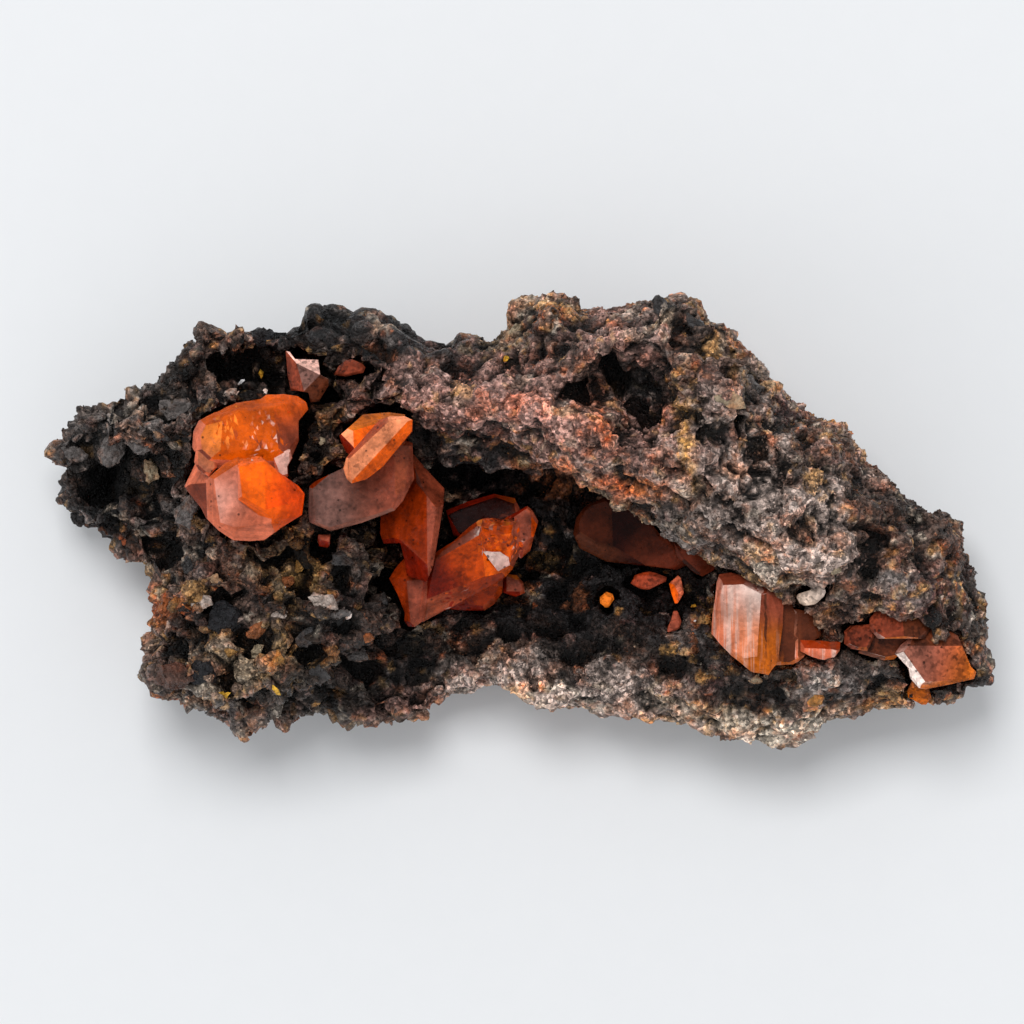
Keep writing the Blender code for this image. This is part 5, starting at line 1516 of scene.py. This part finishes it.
@dataclass
class CrystalGroup:
    """One packed crystal solid with worn edges, growth marks and painted facets, whose tints hold painted
    reflections, light and shade.
    """

    node: bpy.types.Object
    tints: tuple[Tint, ...]
    finish: CrystalFinish
    edge: float = 0.07
    grain: float = 0.5
    stripes: float = 0.0
    etched: tuple[tuple[float, float, float, float], ...] = ()
    # The steep walls' tone: the crystal's deeper colour with painted shade.
    side: Tone = Tone.RUSSET

    def build(self) -> bpy.types.Object:
        """Makes the crystal.

        Returns:
            The finished object with its material.
        """
        name = self.node.name
        mesh = self.node.data.copy()
        mesh.materials.clear()
        self.wear_edges(mesh)
        self.mark(mesh)
        self.dye(mesh)
        made = new_object(f"{name}_grown", mesh)
        mesh.polygons.foreach_set("use_smooth", [True] * len(mesh.polygons))
        mesh.set_sharp_from_angle(angle=math.radians(24))
        mesh.materials.append(self.finish.build())
        return made

    def wear_edges(self, mesh: bpy.types.Mesh) -> None:
        """Rounds the edges a little and cuts the facets into small triangles.

        Args:
            mesh: the crystals.
        """
        bm = bmesh.new()
        bm.from_mesh(mesh)
        bmesh.ops.remove_doubles(bm, verts=bm.verts, dist=2e-6)
        bmesh.ops.dissolve_limit(bm, angle_limit=math.radians(0.6), verts=bm.verts, edges=bm.edges)
        crisp = [e for e in bm.edges if e.is_manifold and e.is_convex and e.calc_face_angle() > 0.2]
        bmesh.ops.bevel(
            bm, geom=crisp, offset=self.edge * MM, offset_type="OFFSET", segments=1, affect="EDGES",
            clamp_overlap=True
        )
        bmesh.ops.triangulate(bm, faces=bm.faces)
        grain = self.grain * MM
        for _ in range(7):
            long_edges = [e for e in bm.edges if e.calc_length() > grain]
            if not long_edges:
                break
            bmesh.ops.subdivide_edges(bm, edges=long_edges, cuts=1)
            bmesh.ops.triangulate(bm, faces=[f for f in bm.faces if len(f.verts) > 3])
        bmesh.ops.recalc_face_normals(bm, faces=bm.faces)
        bm.to_mesh(mesh)
        bm.free()
        mesh.update()

    def mark(self, mesh: bpy.types.Mesh) -> None:
        """Adds growth waves, stripes along Y, and etched stretches.

        Args:
            mesh: the crystals.
        """
        places = points_of(mesh)
        shift = 0.02 * layered_noise(places, 1.6, 81, 3)
        if self.stripes:
            shift += self.stripes * smooth_noise(places * (1.0, 0.06, 0.06), 0.42, 83)
            shift += 0.6 * self.stripes * smooth_noise(places * (1.0, 0.04, 0.04), 0.9, 85)
        for x, y, radius, depth in self.etched:
            away = np.linalg.norm(places[:, :2] - MIDDLE - (x, y), axis=1)
            fade = 1 - ramp(away, 0.7 * radius, radius)
            shift += fade * (crags(places, 1.1, depth, 87) + crags(places, 0.55, 0.6 * depth, 89))
        move_points(mesh, places + normals_of(mesh) * shift[:, None])

    def dye(self, mesh: bpy.types.Mesh) -> None:
        """Paints each facet from the tints that lie on facets like it, so facets turned alike share their
        painted reflection and shade, and darkens steep walls towards the side tone as painted shade.

        Args:
            mesh: the crystals.
        """
        solid = self.node.data
        tree = BVHTree.FromPolygons([v.co for v in solid.vertices], [p.vertices for p in solid.polygons])
        faces = len(mesh.polygons)
        middles, ways = np.empty(faces * 3), np.empty(faces * 3)
        mesh.polygons.foreach_get("center", middles)
        mesh.polygons.foreach_get("normal", ways)
        middles, ways = middles.reshape(-1, 3) / MM, ways.reshape(-1, 3)
        corners = np.empty(len(mesh.loops), dtype=np.int64)
        mesh.loops.foreach_get("vertex_index", corners)
        places = points_of(mesh)[corners]
        ways = np.repeat(ways, 3, axis=0)
        total = np.full(len(places), 1e-12)
        mixed = total[:, None] * np.array(self.side.value)
        for tint in self.tints:
            x, y = tint.x + MIDDLE[0], tint.y + MIDDLE[1]
            spot, way, _, _ = tree.ray_cast(Vector((x, y, 60)) * MM, Vector((0, 0, -1)))
            if spot is None:
                LOG.warning("%s: tint (%.1f, %.1f) misses the crystal", self.node.name, tint.x, tint.y)
                continue
            turned = 1 - ways @ np.array(way)
            away = np.sum((places - np.array(spot) / MM) ** 2, axis=1)
            pull = np.exp(-260 * turned) * (np.exp(-away / TINT_SPREAD) + 1e-3 / (1 + away))
            pull += 1e-6 * np.exp(-9 * turned) / (1 + away) ** 2
            total += pull
            mixed += pull[:, None] * np.array(tint.tone.value)
        mixed /= total[:, None]
        # Painted shade: steep walls take mostly the darker side tone.
        wall = (1 - ramp(ways[:, 2], 0.0, 0.3))[:, None]
        mixed = mixed * (1 - 0.75 * wall) + np.array(self.side.value) * 0.75 * wall
        made = mesh.attributes.new("tone", "FLOAT_COLOR", "CORNER")
        full = np.ones((len(mixed), 4), np.float32)
        full[:, :3] = mixed
        made.data.foreach_set("color", full.ravel())


def crystal_groups(nodes: dict[str, bpy.types.Object]) -> list[CrystalGroup]:
    """The crystal groups with their tints, from left to right.

    Args:
        nodes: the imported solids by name.

    Returns:
        One entry per crystal solid.
    """
    clear = CrystalFinish("orange_crystal", pitting=0.6, cloud=0.6, sugar=0.22)
    dark = CrystalFinish(
        "red_crystal", clearness=0.22, gloss=0.14, pitting=0.7, cloud=0.9, sugar=0.35,
        absorbed=(0.85, 0.08, 0.02), density=320.0,
    )
    dull = CrystalFinish("pink_crystal", clearness=0.12, gloss=0.24, cloud=0.9, pitting=0.8, sugar=0.7)
    striped = CrystalFinish("striated_crystal", clearness=0.12, gloss=0.2, cloud=0.4, sugar=0.25, streak=0.65)
    deep = CrystalFinish(
        "recess_crystal", clearness=0.25, gloss=0.12, sugar=0.3, cloud=0.9, bend=1.3,
        absorbed=(0.7, 0.12, 0.03), density=1600.0,
    )
    # Pale salmon, peach, pink and sugar tints are painted reflections, bright oranges partly painted light
    # shining through, and near-black tints painted shade.
    return [
        CrystalGroup(nodes["left_crystals"], (
            Tint(-26.0, 4.7, Tone.BRIGHT), Tint(-24.1, 4.2, Tone.BRIGHT), Tint(-22.5, 3.0, Tone.FIRE),
            Tint(-25.1, 1.15, Tone.ORANGE), Tint(-28.0, -0.8, Tone.SALMON), Tint(-23.5, 1.0, Tone.ORANGE),
            Tint(-21.6, 1.6, Tone.FIRE), Tint(-28.1, 4.1, Tone.SALMON), Tint(-27.3, 1.3, Tone.SALMON),
            Tint(-28.4, 2.0, Tone.PINK), Tint(-25.6, 0.2, Tone.SALMON), Tint(-25.7, -1.1, Tone.SALMON),
            Tint(-30.2, 2.5, Tone.RUSSET), Tint(-29.8, 5.8, Tone.MAUVE), Tint(-31.2, 3.6, Tone.SALMON),
            Tint(-25.7, 8.8, Tone.CORNELIAN), Tint(-24.0, 8.0, Tone.CORNELIAN),
            Tint(-28.8, 7.2, Tone.HONEY), Tint(-27.6, 10.0, Tone.CORNELIAN),
            Tint(-22.5, 11.0, Tone.ORANGE), Tint(-23.6, 10.6, Tone.CORNELIAN),
            Tint(-26.4, 6.4, Tone.CORNELIAN), Tint(-21.9, 8.4, Tone.RUSSET), Tint(-22.5, 6.0, Tone.PINK),
            Tint(-30.6, 7.0, Tone.SALMON),
        ), clear, etched=((-25.6, 9.4, 4.6, 0.08),), side=Tone.EMBER),
        CrystalGroup(nodes["middle_crystals"], (
            Tint(-19.5, 1.8, Tone.ASH), Tint(-17.5, 1.8, Tone.ASH), Tint(-15.0, 2.4, Tone.MAUVE),
            Tint(-12.6, 3.8, Tone.ROSE), Tint(-13.5, 2.2, Tone.ROSE), Tint(-16.5, -0.4, Tone.MAUVE),
            Tint(-10.9, 5.0, Tone.COPPER), Tint(-14.2, 7.3, Tone.PEACH), Tint(-12.0, 9.4, Tone.PEACH),
            Tint(-15.8, 5.4, Tone.PEACH), Tint(-12.4, 6.6, Tone.BRIGHT), Tint(-15.2, 8.4, Tone.BRIGHT),
            Tint(-14.4, 9.8, Tone.AMBER), Tint(-16.6, 8.6, Tone.MAUVE), Tint(-9.6, 2.0, Tone.EMBER),
            Tint(-8.8, 4.0, Tone.RUSSET), Tint(-10.6, -1.5, Tone.EMBER), Tint(-8.4, 0.5, Tone.ROSE),
            Tint(-8.6, -3.0, Tone.ROSE), Tint(-11.6, -5.2, Tone.EMBER), Tint(-10.2, -7.2, Tone.ROSE),
            Tint(-9.2, -5.2, Tone.BLOOD), Tint(-5.5, -3.8, Tone.FLAME), Tint(-4.0, -2.2, Tone.FLAME),
            Tint(-2.0, -1.0, Tone.FLAME), Tint(-7.6, -5.4, Tone.BLOOD), Tint(-6.5, -6.8, Tone.EMBER),
            Tint(-7.5, -7.8, Tone.COPPER), Tint(-3.7, 2.2, Tone.BLOOD), Tint(-2.3, -3.6, Tone.SUGAR),
            Tint(-6.0, -2.1, Tone.RUSSET), Tint(0.2, 0.0, Tone.ROSE), Tint(-3.1, -4.8, Tone.BRIGHT),
            Tint(-1.6, -4.4, Tone.EMBER), Tint(-0.2, -1.2, Tone.ROSE), Tint(-4.4, 0.6, Tone.NIGHT),
            Tint(-4.0, -8.2, Tone.BLOOD), Tint(-8.0, -5.4, Tone.BLOOD),
        ), dark, etched=((-2.0, -1.6, 2.6, 0.13), (-6.0, -7.6, 2.0, 0.08)), side=Tone.BLOOD),
        # Near-black tints: painted shade on the deep red plates under the overhang.
        CrystalGroup(nodes["recess_crystals"], (
            Tint(9.0, -1.6, Tone.NIGHT), Tint(6.5, -0.6, Tone.SEPIA), Tint(12.0, -2.8, Tone.SEPIA),
            Tint(8.0, -3.4, Tone.UMBER), Tint(13.6, -3.4, Tone.RUSSET), Tint(10.6, -3.9, Tone.NIGHT),
            Tint(17.0, -3.6, Tone.RUSSET),
        ), deep, side=Tone.NIGHT),
        CrystalGroup(nodes["striated_crystal"], (
            Tint(20.5, -9.0, Tone.PEACH), Tint(21.4, -7.4, Tone.SUGAR), Tint(19.2, -8.0, Tone.SALMON),
            Tint(19.6, -11.0, Tone.SALMON), Tint(21.6, -11.6, Tone.PEACH), Tint(23.8, -8.4, Tone.ROSE),
            Tint(23.6, -11.4, Tone.AMBER), Tint(22.6, -14.0, Tone.AMBER), Tint(20.5, -5.4, Tone.RUSSET),
            Tint(26.0, -10.0, Tone.UMBER), Tint(27.8, -10.0, Tone.UMBER), Tint(28.6, -12.0, Tone.EMBER),
            Tint(28.8, -12.8, Tone.SALMON),
        ), striped, stripes=0.05, side=Tone.AMBER),
        CrystalGroup(nodes["tan_blade"], (
            Tint(27.6, -7.0, Tone.BISCUIT), Tint(28.2, -6.6, Tone.SUGAR),
        ), dull, side=Tone.UMBER),
        CrystalGroup(nodes["right_end_crystals"], (
            Tint(40.5, -13.6, Tone.ROSE), Tint(38.6, -13.4, Tone.MAUVE), Tint(39.5, -11.2, Tone.UMBER),
            Tint(42.0, -14.2, Tone.AMBER), Tint(37.2, -14.2, Tone.SUGAR), Tint(35.4, -8.8, Tone.RUSSET),
            Tint(37.6, -9.6, Tone.UMBER), Tint(34.6, -12.0, Tone.UMBER), Tint(32.2, -11.0, Tone.RUSSET),
            Tint(38.2, -16.6, Tone.AMBER),
        ), dull, side=Tone.RUSSET),
        CrystalGroup(nodes["top_crystal"], (
            Tint(-21.8, 14.0, Tone.RUSSET), Tint(-20.6, 14.4, Tone.ASH), Tint(-19.2, 12.6, Tone.UMBER),
            Tint(-20.2, 15.2, Tone.PINK), Tint(-20.3, 12.0, Tone.BLOOD),
        ), dull, side=Tone.UMBER),
        CrystalGroup(nodes["top_plate"], (Tint(-16.3, 14.5, Tone.RUSSET),), dull, side=Tone.UMBER),
        CrystalGroup(nodes["red_chip"], (
            Tint(-18.7, -1.6, Tone.ROSE), Tint(-18.9, -2.3, Tone.BLOOD),
        ), dark, side=Tone.BLOOD),
        CrystalGroup(nodes["shelf_crystal_1"], (
            Tint(12.0, -5.5, Tone.EMBER), Tint(12.6, -6.0, Tone.ROSE),
        ), dull, side=Tone.EMBER),
        CrystalGroup(nodes["shelf_crystal_2"], (
            Tint(15.0, -6.6, Tone.SALMON), Tint(14.7, -7.4, Tone.ORANGE),
        ), dull, side=Tone.ORANGE),
        CrystalGroup(nodes["shelf_crystal_3"], (Tint(14.8, -9.6, Tone.ROSE),), dull, side=Tone.RUSSET),
        CrystalGroup(nodes["shelf_crystal_4"], (Tint(8.1, -7.6, Tone.HONEY),), dull, side=Tone.AMBER),
    ]


def crystal_tree(nodes: dict[str, bpy.types.Object]) -> BVHTree:
    """One search tree over all the crystals' solids.

    Args:
        nodes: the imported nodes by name.

    Returns:
        The tree.
    """
    bm = bmesh.new()
    for name, node in nodes.items():
        if name != "matrix":
            bm.from_mesh(node.data)
    tree = BVHTree.FromBMesh(bm)
    bm.free()
    return tree


def main(frame: dict) -> None:
    """Builds and dresses the specimen.

    Args:
        frame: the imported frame, as it was loaded.
    """
    nodes = frame["nodes"]
    Studio().build()
    rock = Rock(nodes["matrix"]).build()
    rock.data.materials.append(RockFinish("gossan_skin").build())
    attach(rock, "root")
    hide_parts("matrix")
    LOG.info("%s: %d faces", rock.name, len(rock.data.polygons))
    for group in crystal_groups(nodes):
        piece = group.build()
        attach(piece, "root")
        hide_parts(group.node.name)
        LOG.info("%s: %d faces", piece.name, len(piece.data.polygons))
    keep_out = crystal_tree(nodes)
    loose = RockFinish("gossan_grains", grain=4600.0, contrast=0.75).build()
    crusts = [
        Crust(
            "left_blocks", rock, keep_out, 330, (0.4, 1.0), 59, (-28.0, 0.0), (17.0, 22.0), spare=0.4,
            sunk=0.45, tints=(0.3, 2.0), sides=26, flatness=0.7,
        ),
        Crust(
            "ridge_blocks", rock, keep_out, 150, (0.4, 0.9), 61, (14.0, 8.0), (32.0, 13.0), -18,
            spare=0.4, sunk=0.3, tints=(0.4, 1.7),
        ),
        Crust(
            "ridge_grains", rock, keep_out, 12600, (0.08, 0.27), 41, (8.0, 10.0), (26.0, 12.0), -14,
            tints=(0.45, 2.3), sides=8, flatness=0.35,
        ),
        Crust(
            "right_grains", rock, keep_out, 12000, (0.08, 0.28), 43, (32.0, -2.0), (15.0, 16.0), -30,
            tints=(0.45, 2.1), sides=8, flatness=0.35,
        ),
        Crust(
            "left_lumps", rock, keep_out, 10800, (0.07, 0.27), 47, (-28.0, 0.0), (17.0, 22.0),
            tints=(0.4, 2.2), sides=9, flatness=0.5,
        ),
        Crust(
            "shelf_druse", rock, keep_out, 9400, (0.09, 0.24), 53, (7.0, -9.5), (18.0, 8.0), -5, sides=8,
        ),
    ]
    for crust in crusts:
        piece = crust.build()
        piece.data.materials.append(loose)
        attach(piece, "root")
        LOG.info("%s: %d faces", piece.name, len(piece.data.polygons))
    stones = Nuggets(rock, NUGGETS).build()
    stones.data.materials.append(RockFinish("nugget_stone", glint=0.45, contrast=0.45, grain=3000.0).build())
    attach(stones, "root")
    LOG.info("%s: %d faces", stones.name, len(stones.data.polygons))


if __name__ == "__main__":
    logging.basicConfig(level=logging.INFO, format="%(name)s %(message)s")
    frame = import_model()
    main(frame)
